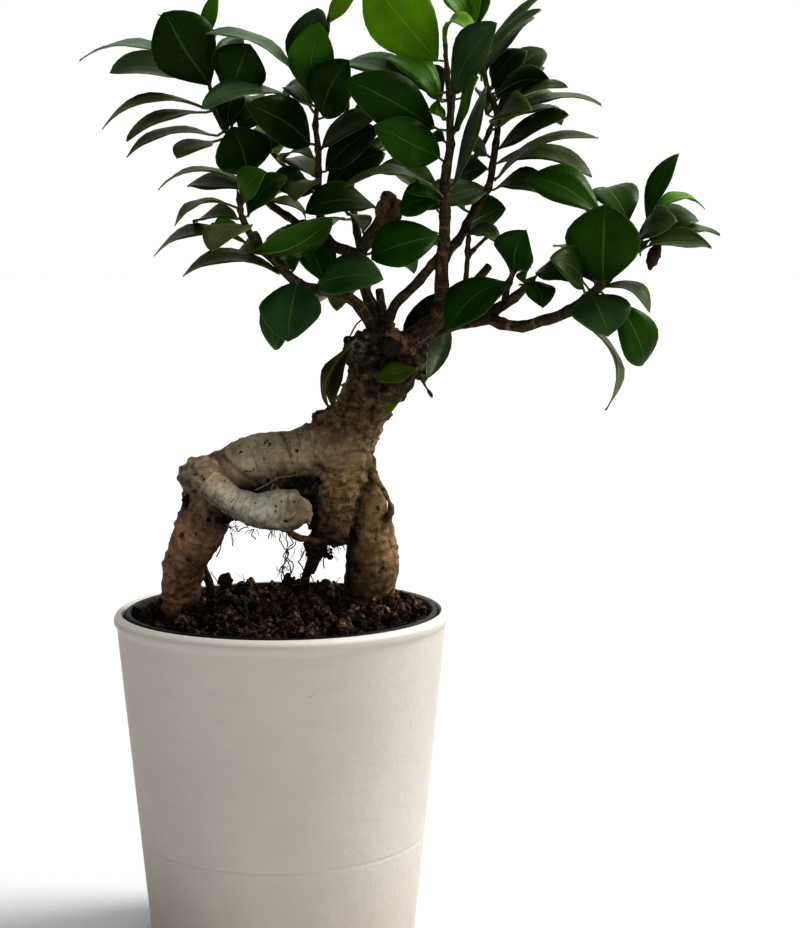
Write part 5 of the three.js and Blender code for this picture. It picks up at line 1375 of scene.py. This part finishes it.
class BONSAI_OT_growing_pot(bpy.types.Operator):
    """Spin the thin black growing pot with its rolled lip, and cut its drain holes"""

    bl_idname = "bonsai.growing_pot"
    bl_label = "Growing pot"

    def execute(self, context):
        lip, foot = LIP_DIAMETER / 2, GROWING_POT_BASE_DIAMETER / 2
        lip_foot = LIP_TOP - LIP_HEIGHT
        neck = lip - LIP_WIDTH
        inner_floor = GROWING_POT_FOOT + GROWING_POT_FLOOR
        profile = softened([
            (0, GROWING_POT_FOOT, 0),
            (foot, GROWING_POT_FOOT, 1.2),
            (neck, lip_foot, 0.4),
            (lip - 0.5, lip_foot, 0.3),
            (lip, lip_foot + 0.6, 0.3),
            (lip, LIP_TOP - 1.7, 0.9),
            (lip - 1.2, LIP_TOP - 0.6, 0.8),
            (lip - 2.4, LIP_TOP - 0.8, 0.6),
            (neck - GROWING_POT_WALL, lip_foot, 0.6),
            (foot - GROWING_POT_WALL, inner_floor, 1.0),
            (0, inner_floor, 0),
        ])
        pot = turned("growing_pot_plastic", profile, 128)
        for k in range(DRAIN_HOLES + 1):
            ring = DRAIN_RING_RADIUS if k else 0
            angle = 2 * math.pi * k / DRAIN_HOLES
            drill = started(
                "drill", bpy.ops.mesh.primitive_cylinder_add, vertices=24, radius=DRAIN_HOLE_RADIUS * MM,
                depth=8 * MM,
                location=(ring * math.cos(angle) * MM, ring * math.sin(angle) * MM, GROWING_POT_FOOT * MM),
            )
            modified(pot, "BOOLEAN", operation="DIFFERENCE", solver="EXACT", object=drill)
            bpy.data.objects.remove(drill)
        finish_piece(pot, [moulded_polypropylene()], node="growing_pot", smooth_angle=35)
        return {"FINISHED"}


def soil_height(x, y):
    mound = 2.2 * np.maximum(0, y / 55)
    dip = -4 * np.maximum(0, (-x - 36) / 18)
    clods = np.sin(x / 5.3 + 1.2) * np.cos(y / 4.7 + 0.4) + 0.6 * np.sin(x / 2.9 - y / 3.7)
    return SOIL_LEVEL + mound + dip + clods


def soil_radius(z):
    """The radius of the peat below its top, a little clear of the growing pot's wall."""
    foot = GROWING_POT_BASE_DIAMETER / 2
    top = LIP_DIAMETER / 2 - LIP_WIDTH
    return foot + (top - foot) * (z - GROWING_POT_FOOT) / (LIP_TOP - LIP_HEIGHT - GROWING_POT_FOOT) - 1.25


def peat_level(x, y):
    """Height of the peat with its clods, and how far each place stands out."""
    edge = np.clip((np.hypot(x, y) - SOIL_RADIUS + 6) / 6, 0, 1)
    flat = np.column_stack([x, y, np.zeros(len(x))])
    relief = 10 * np.abs(noise_at(flat, 10.0)) + 5.0 * np.abs(noise_at(flat, 4.2, 3.1))
    relief = (relief + 2.0 * noise_at(flat, 2.0, 7.7) - 2.9) * (1 - 0.6 * edge)
    level = soil_height(x, y) * (1 - edge) + (SOIL_EDGE_LEVEL + 2.2) * edge
    for heap_x, heap_y, reach, rise in SOIL_HEAPS:
        level += rise * np.exp(-((x - heap_x) ** 2 + (y - heap_y) ** 2) / reach**2)
    return level + relief, relief


def crumb_shape(name, subdivisions, seed, flatness=0.65):
    """An uneven crumb about 2 across."""
    ball = {"subdivisions": subdivisions, "radius": 1}
    crumb = started(name, bpy.ops.mesh.primitive_ico_sphere_add, **ball)
    bpy.ops.object.mode_set(mode="EDIT")
    bpy.ops.transform.vertex_random(offset=0.3, uniform=0.5, seed=seed)
    bpy.ops.transform.resize(value=(1.0, 0.8, flatness))
    bpy.ops.object.mode_set(mode="OBJECT")
    return crumb


def scattered(shape, centres, radii, chances, lightness=1.0):
    """Copies of a crumb at these centres, each turned its own way and shaded its own brown."""
    corners = vertices_of(shape) * MM
    copies = []
    for centre, radius in zip(centres, radii):
        spin = Euler(chances.random(3) * FULL_TURN).to_matrix()
        stretch = radius * (0.7 + 0.6 * chances.random(3))
        piece = copy_of(shape, "crumb")
        move_vertices(piece, corners @ np.array(spin) * stretch + centre)
        shade = (0.1 + 1.6 * chances.random() ** 2) * lightness
        even_colour(piece, (shade, shade * (0.92 + 0.08 * chances.random()), shade * 0.93))
        copies.append(piece)
    return copies


def peat_body():
    """The body of the peat, down to the growing pot's floor, with clods on its top."""
    grid = {"x_subdivisions": 150, "y_subdivisions": 150, "size": 2}
    ground = started("soil_peat", bpy.ops.mesh.primitive_grid_add, **grid)
    square = vertices_of(ground) * MM
    x, y = square[:, 0], square[:, 1]
    disc = np.stack([x * np.sqrt(1 - y * y / 2), y * np.sqrt(1 - x * x / 2)], axis=1) * PEAT_DISC
    move_vertices(ground, np.column_stack([disc, np.full(len(disc), SOIL_LEVEL)]))
    bpy.ops.object.mode_set(mode="EDIT")
    bpy.ops.mesh.select_all(action="SELECT")
    bpy.ops.mesh.region_to_loop()
    for drop in PEAT_DROPS:
        bpy.ops.mesh.extrude_edges_move(TRANSFORM_OT_translate={"value": (0, 0, -drop * MM)})
    bpy.ops.mesh.edge_face_add()
    bpy.ops.mesh.select_all(action="SELECT")
    bpy.ops.mesh.normals_make_consistent(inside=False)
    bpy.ops.object.mode_set(mode="OBJECT")
    places = vertices_of(ground)
    top = places[:, 2] > SOIL_LEVEL - 1
    low = places[:, 2] < 20
    level, relief = peat_level(places[:, 0], places[:, 1])
    places[:, 2] = np.where(top, level, places[:, 2])
    places[~top & ~low, :2] *= soil_radius(107.5) / PEAT_DISC
    places[low, :2] *= soil_radius(9.5) / PEAT_DISC
    move_vertices(ground, places)
    # Painted shade: the peat's tint is darker in its hollows and lighter where clods stand up
    shade = np.where(top, np.clip(0.5 + 0.45 * relief, 0.03, 1.9), 0.6)
    paint(ground, "tint", with_alpha(np.outer(shade, [1, 0.97, 0.93])))
    return ground


def fibre_run(chances):
    """One loose fibre that lies bent on the peat, as rows of (centre, radius)."""
    spread = math.sqrt(chances.random()) * 50
    angle, heading = (chances.random() * 2 * math.pi for _ in range(2))
    at = np.array([spread * math.cos(angle), spread * math.sin(angle)])
    bend = (chances.random() - 0.5) * 1.1
    length = 0.8 + 1.7 * chances.random()
    radius = 0.06 + 0.12 * chances.random()
    rise = 0.5 * chances.random() ** 2
    rows = []
    for k in range(6):
        level = peat_level(at[:1], at[1:])[0][0] if k in (0, 5) else rows[-1][0][2] - 0.3
        lift = 0.3 + (rise * k + 0.7 * chances.random()) * (k > 0)
        rows.append((np.array([*at, max(level, rows[-1][0][2] - 1 if rows else 0) + lift]), radius))
        at = at + length * np.array([math.cos(heading), math.sin(heading)])
        heading += bend + 0.7 * (chances.random() - 0.5)
        if np.hypot(*at) > FIBRE_REACH:
            break
    return rows


class BONSAI_OT_soil(bpy.types.Operator):
    """Model the peat with its clods, and strew crumbs, fibres and pale bits over it"""

    bl_idname = "bonsai.soil"
    bl_label = "Soil"

    def execute(self, context):
        sizes = context.scene.bonsai_sizes
        chances = np.random.default_rng(SOIL_SEED)
        pieces = [peat_body()]
        clod, crumb = crumb_shape("clod", 2, 5), crumb_shape("crumb", 1, 8)
        for kind, shape, count, smallest, largest in (
            ("clods", clod, 110, 1.2, 3.4),
            ("crumbs", crumb, sizes.crumbs, 0.3, 1.3),
            ("crumbs at the lip", crumb, 130, 0.4, 1.0),
            ("pale bits", crumb, 24, 0.6, 1.1),
        ):
            spread = np.sqrt(chances.random(count)) * (CRUMB_REACH - largest)
            if kind == "crumbs at the lip":
                spread = 55 + 2.4 * chances.random(count)
            angle = chances.random(count) * 2 * math.pi
            x, y = spread * np.cos(angle), spread * np.sin(angle)
            radii = (smallest + (largest - smallest) * chances.random(count) ** 2) * sizes.crumb / (1.5 * MM)
            level, relief = peat_level(x, y)
            radii *= np.clip(0.9 + 0.25 * relief, 0.5, 1.4)
            centres = np.column_stack([x, y, level + 0.1 * radii])
            if kind != "pale bits":
                pieces += scattered(shape, centres, radii, chances)
                continue
            centres = np.vstack([centres, seen(*PALE_BIT_IN_FRONT)])
            bits = joined(scattered(shape, centres, [*radii, 1.7], chances), "soil_pale_bits")
            finish_piece(bits, [plain_bits("dried_bark_bits", "a5926c", 0.9)], smooth_angle=50)
        finish_piece(joined(pieces, "soil_peat"), [moist_peat()], node="soil", smooth_angle=60)

        clinging = []
        for x, z, depth, wide, high, count in CLINGING_SOIL:
            offsets = chances.normal(size=(count, 3)) * [wide, high, wide]
            centres = [seen(x + dx, z + dz, depth + dy) for dx, dz, dy in offsets]
            outward = np.linalg.norm(offsets / [wide, high, wide], axis=1)
            radii = 0.35 + 0.8 * chances.random(count) ** 1.5 + 1.3 * np.exp(-(outward**2) / 2)
            clinging += scattered(clod, centres, radii, chances, 0.5)
        finish_piece(joined(clinging, "clinging_soil"), [moist_peat()], smooth_angle=60)
        for shape in (clod, crumb):
            bpy.data.objects.remove(shape)

        runs = [fibre_run(chances) for _ in range(sizes.fibres)]
        fibres = tubes("soil_fibres", [rows for rows in runs if len(rows) > 2], 0)
        finish_piece(fibres, [plain_bits("peat_fibre", "6b523a", 0.85)])
        return {"FINISHED"}


def blended(gaps, values):
    """Values of the limbs, blended where limbs meet."""
    weights = np.exp(-np.maximum(gaps - gaps.min(axis=0), 0) / 2.2)
    return weights.T @ np.array(values) / weights.sum(axis=0)[:, None]


def blend_fill(gaps, names):
    """How far the skin is filled out where two limbs have grown together."""
    fill = np.zeros(gaps.shape[1])
    for first, second, width in GROWN_TOGETHER:
        one, other = gaps[names.index(first)], gaps[names.index(second)]
        close = np.maximum(width - np.abs(one - other), 0) ** 2 / (4 * width)
        fill = np.maximum(fill, np.where(np.minimum(one, other) < 1.5, close, 0))
    return fill


def furrows(places, normals):
    """How deep the furrows of the front are at each place, and how much painted shade lies in them and along
    the shaded edges.
    """
    spots = as_seen(places)
    facing = np.clip(-2.5 * normals[:, 1] + 0.6, 0, 1)
    deep, dark = np.zeros(len(places)), np.zeros(len(places))
    for width, depth, darkness, run in FURROWS_AND_SHADED_EDGES:
        gap = np.full(len(places), np.inf)
        for start, end in zip(np.array(run), np.array(run[1:])):
            share = np.clip((spots - start) @ (end - start) / ((end - start) @ (end - start)), 0, 1)
            gap = np.minimum(gap, np.linalg.norm(spots - start - np.outer(share, end - start), axis=1))
        strength = np.exp(-((gap / width) ** 2)) * facing
        deep = np.maximum(deep, depth * strength)
        # Painted shade in the furrows and along the shaded edges
        dark = np.maximum(dark, darkness * strength)
    return deep, dark


def graft_share(places):
    """How much of the corky graft swelling each place has."""
    spread = ((places[:, 0] - 40) / 13) ** 2 + ((places[:, 2] - 229) / 9.5) ** 2
    return np.exp(-(spread**1.5))


def grown_body(names, runs, thick, voxel):
    """The swollen roots, trunk and graft as one skin, with its folds, warts, furrows and cork."""
    body = tubes("rootstock_bark", thick, 6)
    modified(body, "REMESH", mode="VOXEL", voxel_size=voxel)
    modified(body, "SMOOTH", factor=0.6, iterations=12)
    places = vertices_of(body)
    gaps, grain, _ = along_limbs(places, runs)
    rough = blended(gaps, [[ROOT_BARKS[name][1]] for name in names])[:, 0]
    lumps = 0.6 * noise_at(places, 14, 1.7) + 0.35 * noise_at(places, 6, 4.4)
    bulge = 1 + 1.1 * nearness(places, TRUNK_BULGE, 18, 4)
    warts = 2.6 * np.maximum(noise_at(places, 2.7, 12.0) - 0.14, 0)
    lumps += bulge * rough * (0.5 * noise_at(places, 3.6, 8) + 0.3 * noise_at(places, 2.0, 2.5) + warts)
    lumps += (0.1 + 0.45 * rough) * noise_at(grain * [1, 0.12, 0.12], 2.6, 3.3)
    lumps += blend_fill(gaps, names)
    lumps -= furrows(places, normals_of(body))[0]
    lumps -= 3.2 * nearness(places, KNEE_HOLLOW, 4.5)
    cork = 1 - 2 * np.abs(noise_at(places, 5.5, 6.1))
    cork = 2.0 * noise_at(places, 7, 2.2) + 1.9 * cork + 1.5 * noise_at(places, 2.6, 6.1) - 1.6
    lumps += graft_share(places) * cork
    lumps -= 4.5 * nearness(places, SPROUT_SEAT, 8, 4)
    swell(body, lumps)
    return body, graft_share(places)


def cork_flakes(body, graft):
    """Loose flakes of cork on the graft, clear of the sprout's leaf."""
    chances = np.random.default_rng(FLAKE_SEED)
    anchors = vertices_of(body)[chances.choice(np.flatnonzero(graft > 0.3), 240)]
    anchors = anchors[np.linalg.norm(anchors - seen(*SPROUT_SEAT), axis=1) > 7]
    flake = crumb_shape("flake", 1, 3, 0.4)
    flakes = scattered(flake, anchors, 0.6 + 1.7 * chances.random(len(anchors)) ** 2, chances)
    bpy.data.objects.remove(flake)
    for piece in flakes:
        piece.data.attributes.remove(piece.data.attributes["tint"])
    return flakes


def thin_roots(limbs):
    """The thin roots, ragged where soil holds them and slimmer at the twig's bend."""
    thin = tubes("thin_roots", [with_round_ends(limbs[name]) for name in THIN_ROOTS], 3)
    places = vertices_of(thin)
    ragged = 0.5 + 1.2 * nearness(places, SOIL_CLUMP, 9, 4)
    swell(thin, ragged * noise_at(places, 2.2, 4.0) - 0.35 * nearness(places, TWIG_BEND, 10, 4))
    return thin


def paint_bark(body, names, runs, limbs):
    """Stores the bark's colours with painted highlights, its roughness and grain, and soil stains mixed with
    painted shade on the rootstock.
    """
    places, normals = vertices_of(body), normals_of(body)
    gaps, _, _ = along_limbs(places, runs)
    tint = blended(gaps, [srgb(ROOT_BARKS[name][0]) for name in names])
    tint *= (1 + 0.18 * noise_at(places, 9, 5.0))[:, None]
    # Colours of rubbed and aged places, and painted highlights on the knee and the right-hand sides
    for *spot, reach, share, code in TINTED_AND_HIGHLIGHTED_PLACES:
        share = share * nearness(places, spot, reach)
        tint += share[:, None] * (np.array(srgb(code)) - tint)
    mealy = nearness(places, MEALY_PATCH, 5) * np.clip(0.6 + 2.5 * noise_at(places, 2.2, 1.0), 0, 1)
    tint += mealy[:, None] * (np.array(srgb("94958b")) - tint)
    paint(body, "tint", with_alpha(tint))
    paint(body, "grain", along_limbs(places, list(limbs.values()))[1] * MM)
    paint(body, "rough", blended(gaps, [[ROOT_BARKS[name][1]] for name in names])[:, 0])
    nearest, second = np.sort(gaps[: len(limbs)], axis=0)[:2]
    paint(body, "clear", 1 - np.exp(-(((second - nearest) / 1.5) ** 2)))
    # Painted shade: darker where the bark faces downwards
    underside_shade = np.clip(-normals[:, 2] + 0.05, 0, 1) * 0.75
    near_soil = np.clip((133 - places[:, 2]) / 9, 0, 1) * 0.5
    # Painted shade in the creases where two limbs meet
    crease_shade = 0.6 * np.exp(-((np.maximum(second, 0) / 2.2) ** 2))
    # Soil stains mixed with painted shade, from the table of soiled and shaded places
    dirt_and_shade = np.zeros(len(places))
    for *spot, reach, darkness in SOILED_AND_SHADED_PLACES:
        dirt_and_shade = np.maximum(dirt_and_shade, darkness * nearness(places, spot, reach))
    dirt_and_shade *= (1 + 0.4 * noise_at(places, 3.0, 9.0)) * (1 - 0.8 * mealy)
    dirt_and_shade[gaps[names.index("under_root")] < 0.6] *= 0.3
    # Soil stains and painted shade together: undersides, creases, nearness to the soil, soiled places and
    # furrows
    stain_and_shade = np.maximum.reduce([underside_shade, near_soil, crease_shade, dirt_and_shade, furrows(places, normals)[1]])
    paint(body, "stain_and_shade", np.clip(stain_and_shade, 0, 0.96))


def with_cut_end(rows):
    """A limb's rows whose last end is a hollowed cut."""
    (before, _), (end, radius) = rows[-2:]
    heading = unit(end - before)
    lip = [(0.5, 0.95), (0.7, 0.84), (0.2, 0.72), (-0.9, 0.45), (-1.3, 0.12)]
    return [*rows, *((end + heading * out, radius * share) for out, share in lip)]


def cut_stub(rows):
    """The stub of a pruned branch, with a paler rim and a lip of new bark over its cut."""
    stub = tubes("cut_stub", [with_cut_end(rows)], 6)
    places = vertices_of(stub)
    (before, _), (end, tip_radius) = rows[-2:]
    axis = unit(end - before)
    ahead = (places - end) @ axis
    aside = np.linalg.norm(places - end - np.outer(ahead, axis), axis=1)
    rim = np.exp(-(((aside - 0.9 * tip_radius) / 0.8) ** 2)) * (ahead > -1.6)
    paint(stub, "tint", with_alpha(np.outer(1 - rim, srgb("33261a")) + np.outer(rim, srgb("6b5138"))))
    lip = tubes("stub_lip", [smooth_run(STUB_LIP, 1.0)], 3)
    even_colour(lip, srgb("75593f"))
    stub = joined([stub, lip], "cut_stub")
    swell(stub, 0.6 * noise_at(vertices_of(stub), 2.0, 5.0))
    return stub


class BONSAI_OT_rootstock(bpy.types.Operator):
    """Model the swollen roots, trunk and graft as one grown body, and its bark"""

    bl_idname = "bonsai.rootstock"
    bl_label = "Rootstock"

    def execute(self, context):
        limbs = {name: smooth_run(run, 3.0) for name, run in ROOTS.items()}
        knobs = {
            name: [(seen(*spot) + [0, 0, k * radius], radius) for k in (-0.12, 0.12)]
            for name, (*spot, radius) in KNOBS.items()
        }
        names, runs = [*limbs, *knobs], [*limbs.values(), *knobs.values()]
        thick = [
            with_round_ends(rows) for name, rows in zip(names, runs) if name not in (*THIN_ROOTS, "cut_stub")
        ]
        body, graft = grown_body(names, runs, thick, context.scene.bonsai_sizes.bark_grain)
        flakes = cork_flakes(body, graft)
        body = joined([body, thin_roots(limbs), *flakes], "rootstock_bark")
        paint_bark(body, names, runs, limbs)
        finish_piece(body, [ringed_bark()], node="rootstock")
        stub = cut_stub(limbs["cut_stub"])
        finish_piece(stub, [cut_wood()], node="rootstock", smooth_angle=60)
        return {"FINISHED"}


def curled(rows, seed):
    """A hair's rows, made to wander a little."""
    centres = np.array([centre for centre, _ in rows])
    wander = np.stack([noise_at(centres, 3.0, seed + k) for k in (0.3, 5.1, 9.7)], axis=1)
    wander *= np.clip(np.arange(len(rows)) / 4, 0, 1)[:, None]
    return [(centre, radius) for centre, (_, radius) in zip(centres + 1.8 * wander, rows)]


class BONSAI_OT_hair_roots(bpy.types.Operator):
    """Draw the hair roots that hang between the swollen roots and the soil"""

    bl_idname = "bonsai.hair_roots"
    bl_label = "Hair roots"

    def execute(self, context):
        radius = context.scene.bonsai_sizes.hair_root / MM
        brown = plain_bits("dried_root_hair", "4f3826", 0.85)
        for name, runs in HAIR_ROOTS.items():
            rows = [smooth_run([(*place, radius) for place in run], 0.8) for run in runs]
            rows = [curled(run, 7 * k) for k, run in enumerate(rows)]
            finish_piece(tubes(name, rows, 1), [brown])
        chances = np.random.default_rng(HAIR_SEED)
        rows = []
        for x, z, depth, spread, longest, count in HAIR_TUFTS:
            for _ in range(count):
                at = seen(x + spread * chances.normal(), z, depth + 0.6 * spread * chances.normal())
                heading = unit(chances.normal(size=3) * [1, 1, 0.5] + [0, 0, -0.9])
                run = []
                for k in range(6 + int(longest * chances.random())):
                    run.append((at, radius * (0.7 - 0.04 * k)))
                    heading = unit(heading + 0.55 * chances.normal(size=3) + [0, 0, -0.12])
                    at = at + 0.8 * heading
                rows.append(run)
        finish_piece(tubes("fine_root_hairs", rows, 0), [brown])
        for name, runs, thickness, slot, stuff, code, roughness in (
            ("pale_root_hair", PALE_HAIRS, 0.22, "bark", "pale_root_hair", "9d8c6e", 0.8),
            ("dry_thread", [DRY_THREAD], 0.3, "dry_leaf", "dried_stalk", "5d4630", 0.85),
        ):
            rows = [smooth_run([(*place, thickness) for place in run], 1.5) for run in runs]
            finish_piece(tubes(name, rows, 1), [plain_bits(stuff, code, roughness)])
        return {"FINISHED"}


def lobe(row):
    """One round lobe of a burl."""
    *spot, radius = row
    ball = {"subdivisions": 3, "radius": radius * MM}
    piece = started("lobe", bpy.ops.mesh.primitive_ico_sphere_add, **ball)
    move_vertices(piece, vertices_of(piece) * [1, 0.9, 1.15] + seen(*spot))
    return piece


def with_bud(rows):
    """A stem's rows with the pointed sheath of its end bud, or with a blunt end where the stem was cut."""
    end, radius = rows[-1]
    heading = unit(end - rows[-2][0])
    sheath = [(1.0, 1.15), (2.2, 1.2), (3.8, 0.9), (5.2, 0.5), (6.4, 0.12)]
    if radius > THICKEST_WITH_BUD:
        sheath = [(0.3, 0.85), (0.5, 0.3)]
    return [*rows, *((end + heading * out, radius * share) for out, share in sheath)]


def foliage(name, stem, blades, templates, skins, chances, context):
    """A stem's leaves and their stalks as one piece, and which skin each face has."""
    leaf, stalk = templates
    thickness = context.scene.bonsai_sizes.blade_thickness
    leaves, stalks = [], []
    for blade in blades:
        blade["start"] = blade["start"] + EASED_LEAVES.get(stem, (0, 0, 0))
        if stem in SPROUT_TURNS:
            blade["normal"] = unit(blade["normal"] + SPROUT_TURNS[stem])
            blade["across"] = unit(np.cross(blade["normal"], blade["along"]))
        chance = chances.random(8)
        tint = leaf_tint(stem, blade, chance, context.scene.bonsai_colours.leaf_share)
        leaves.append(leaf_piece(leaf, blade, tint, thickness, chance))
        stalks.append(stalk_piece(stalk, blade, tint, chance))
    stalks, leaves = joined(stalks, "stalks"), joined(leaves, "blades")
    add_materials(stalks, skins)
    stalks.data.polygons.foreach_set("material_index", [2] * len(stalks.data.polygons))
    add_materials(leaves, skins)
    piece = joined([leaves, stalks], name)
    kinds = np.empty(len(piece.data.polygons), dtype=np.int32)
    piece.data.polygons.foreach_get("material_index", kinds)
    return piece, kinds


def stem_wood(name, stem, with_buds):
    """A stem's wood with its nodes, and the burl of the left one, and what its bark needs to know."""
    runs = [smooth_run(run, 2.5) for run in STEMS[stem].values()]
    wood = tubes(name, [with_bud(rows) for rows in runs] if with_buds else runs, 2)
    if stem == "left_high":
        wood = joined([wood, *map(lobe, BURL_LOBES)], name)
    places = vertices_of(wood)
    _, grain, shares = along_limbs(places, [smooth_run(run, 4.0) for run in STEMS[stem].values()])
    *spot, reach = BURL
    burl = nearness(places, spot, reach, 6)
    bumps = (0.22 + 0.6 * burl) * noise_at(places, 1.8, 2.0)
    bumps += (0.15 + 1.2 * burl) * noise_at(places, 4.0, 5.0)
    bumps += 0.4 * (1 - burl) * np.exp(-(((grain[:, 0] % NODE_STEP - NODE_STEP / 2) / 0.9) ** 2))
    swell(wood, bumps)
    paint(wood, "burl", burl)
    paint(wood, "grain", grain * MM)
    paint(wood, "youth", np.clip(shares * 1.5 - 0.6, 0, 1))
    return wood


class BONSAI_OT_leafy_stems(bpy.types.Operator):
    """Model each grafted stem and its leaves"""

    bl_idname = "bonsai.leafy_stems"
    bl_label = "Leafy stems"

    def execute(self, context):
        skins = [leaf_upper(), leaf_lower(), leaf_stalk()]
        bark = young_bark()
        templates = leaf_template(), stalk_template()
        chances = np.random.default_rng(LEAF_SEED)
        for stem, blades in placed_blades().items():
            node, slot = STEM_NODES[stem], LEAF_SLOTS.get(stem, "leaves")
            piece, kinds = foliage(f"{node}_leaves", stem, blades, templates, skins, chances, context)
            finish_piece(piece, skins, node=node)
            piece.data.polygons.foreach_set("material_index", kinds)
            wood = stem_wood(f"{node}_wood", stem, slot == "leaves" and stem != "sprout_back")
            finish_piece(wood, [bark], node=node)
        for template in templates:
            bpy.data.objects.remove(template)
        return {"FINISHED"}


class BONSAI_OT_withered_bits(bpy.types.Operator):
    """Model the withered bud, the dead shoot and the young bud shoots on the stems"""

    bl_idname = "bonsai.withered_bits"
    bl_label = "Withered bits"

    def execute(self, context):
        for name, runs, bumps, slot, stuff, code in (
            ("withered_bud", [WITHERED_BUD], 0.5, "dry_leaf", "withered_bud_scales", "4a281c"),
            ("dead_shoot", [DEAD_SHOOT], 0.1, "dry_leaf", "dead_shoot_tissue", "4d4a38"),
            ("bud_shoots", BUD_SHOOTS, 0.1, "young_leaves", "bud_shoot_tissue", "5c5f26"),
        ):
            piece = tubes(name, [smooth_run(run, 0.7) for run in runs], 3)
            swell(piece, bumps * noise_at(vertices_of(piece), 1.6, 3.0))
            finish_piece(piece, [plain_bits(stuff, code, 0.7)])
        return {"FINISHED"}


class BONSAI_OT_stage(bpy.types.Operator):
    """Lay the pale floor, set soft studio lights and place the camera"""

    bl_idname = "bonsai.stage"
    bl_label = "Stage"

    def execute(self, context):
        floor = started("studio_floor", bpy.ops.mesh.primitive_plane_add, size=24)
        floor.data.materials.append(studio_paper())
        world = context.scene.world = bpy.data.worlds.new("studio")
        world.use_nodes = True
        tree = world.node_tree
        heading = add_node(tree, "TexCoord", {}, "Generated")
        rightward, behind, upward = (
            add_node(tree, "SeparateXYZ", {"Vector": heading}, axis) for axis in "XYZ"
        )
        dome = add_node(tree, "MapRange", {0: upward, 1: 0.2, 2: 0.65, 3: 0.58, 4: 0.45})
        side = add_node(tree, "MapRange", {0: rightward, 1: 0.1, 2: -0.7, 3: 1.0, 4: 0.05})
        back = add_node(tree, "MapRange", {0: behind, 1: 0.1, 2: 0.7, 3: 1.0, 4: 2.0})
        for share in (side, back):
            dome = add_node(tree, "Math", {0: dome, 1: share}, operation="MULTIPLY")
        above = add_node(tree, "MapRange", {0: upward, 1: 0.16, 2: 0.34})
        band = add_node(tree, "MapRange", {0: rightward, 1: -0.35, 2: -0.8, 3: 0.71, 4: 0.62})
        light = add_node(tree, "Mix", {0: above, 2: band, 3: dome})
        tree.links.new(light, tree.nodes["Background"].inputs["Strength"])
        tree.nodes["Background"].inputs["Color"].default_value = (1, 1, 1, 1)
        heading = Vector(KEY_LIGHT_FROM)
        key = started("key_light", bpy.ops.object.light_add, type="SUN", location=heading)
        key.data.energy = context.scene.bonsai_colours.light
        key.data.angle = math.radians(28)
        key.rotation_euler = heading.to_track_quat("Z", "Y").to_euler()
        context.scene.view_settings.view_transform = "Standard"
        context.scene.view_settings.look = "High Contrast"
        place = {"location": tuple(EYE * MM), "rotation": (math.radians(90 - VIEW_PITCH), 0, 0)}
        camera = context.scene.camera = started("camera", bpy.ops.object.camera_add, **place)
        camera.data.lens = LENS
        camera.data.sensor_width = 36
        camera.data.clip_start = 0.01
        camera.data.dof.use_dof = False
        return {"FINISHED"}


OPERATORS = (
    BONSAI_OT_cover_pot, BONSAI_OT_growing_pot, BONSAI_OT_soil, BONSAI_OT_rootstock, BONSAI_OT_hair_roots,
    BONSAI_OT_leafy_stems, BONSAI_OT_withered_bits, BONSAI_OT_stage,
)


class BONSAI_PT_pieces(bpy.types.Panel):
    """The bonsai's pieces, sizes and colours"""

    bl_idname = "BONSAI_PT_pieces"
    bl_label = "Ficus bonsai"
    bl_space_type = "VIEW_3D"
    bl_region_type = "UI"
    bl_category = "Bonsai"

    def draw(self, context):
        for operator in OPERATORS:
            self.layout.operator(operator.bl_idname)
        for group in (context.scene.bonsai_sizes, context.scene.bonsai_colours):
            for name in group.__annotations__:
                self.layout.prop(group, name)


CLASSES = (BonsaiSizes, BonsaiColours, *OPERATORS, BONSAI_PT_pieces)


def register():
    for each in CLASSES:
        bpy.utils.register_class(each)
    bpy.types.Scene.bonsai_sizes = bpy.props.PointerProperty(type=BonsaiSizes)
    bpy.types.Scene.bonsai_colours = bpy.props.PointerProperty(type=BonsaiColours)


def unregister():
    del bpy.types.Scene.bonsai_colours
    del bpy.types.Scene.bonsai_sizes
    for each in reversed(CLASSES):
        bpy.utils.unregister_class(each)


def main():
    register()
    bpy.ops.bonsai.cover_pot()
    bpy.ops.bonsai.growing_pot()
    bpy.ops.bonsai.soil()
    bpy.ops.bonsai.rootstock()
    bpy.ops.bonsai.hair_roots()
    bpy.ops.bonsai.leafy_stems()
    bpy.ops.bonsai.withered_bits()
    bpy.ops.bonsai.stage()


if __name__ == "__main__":
    main()
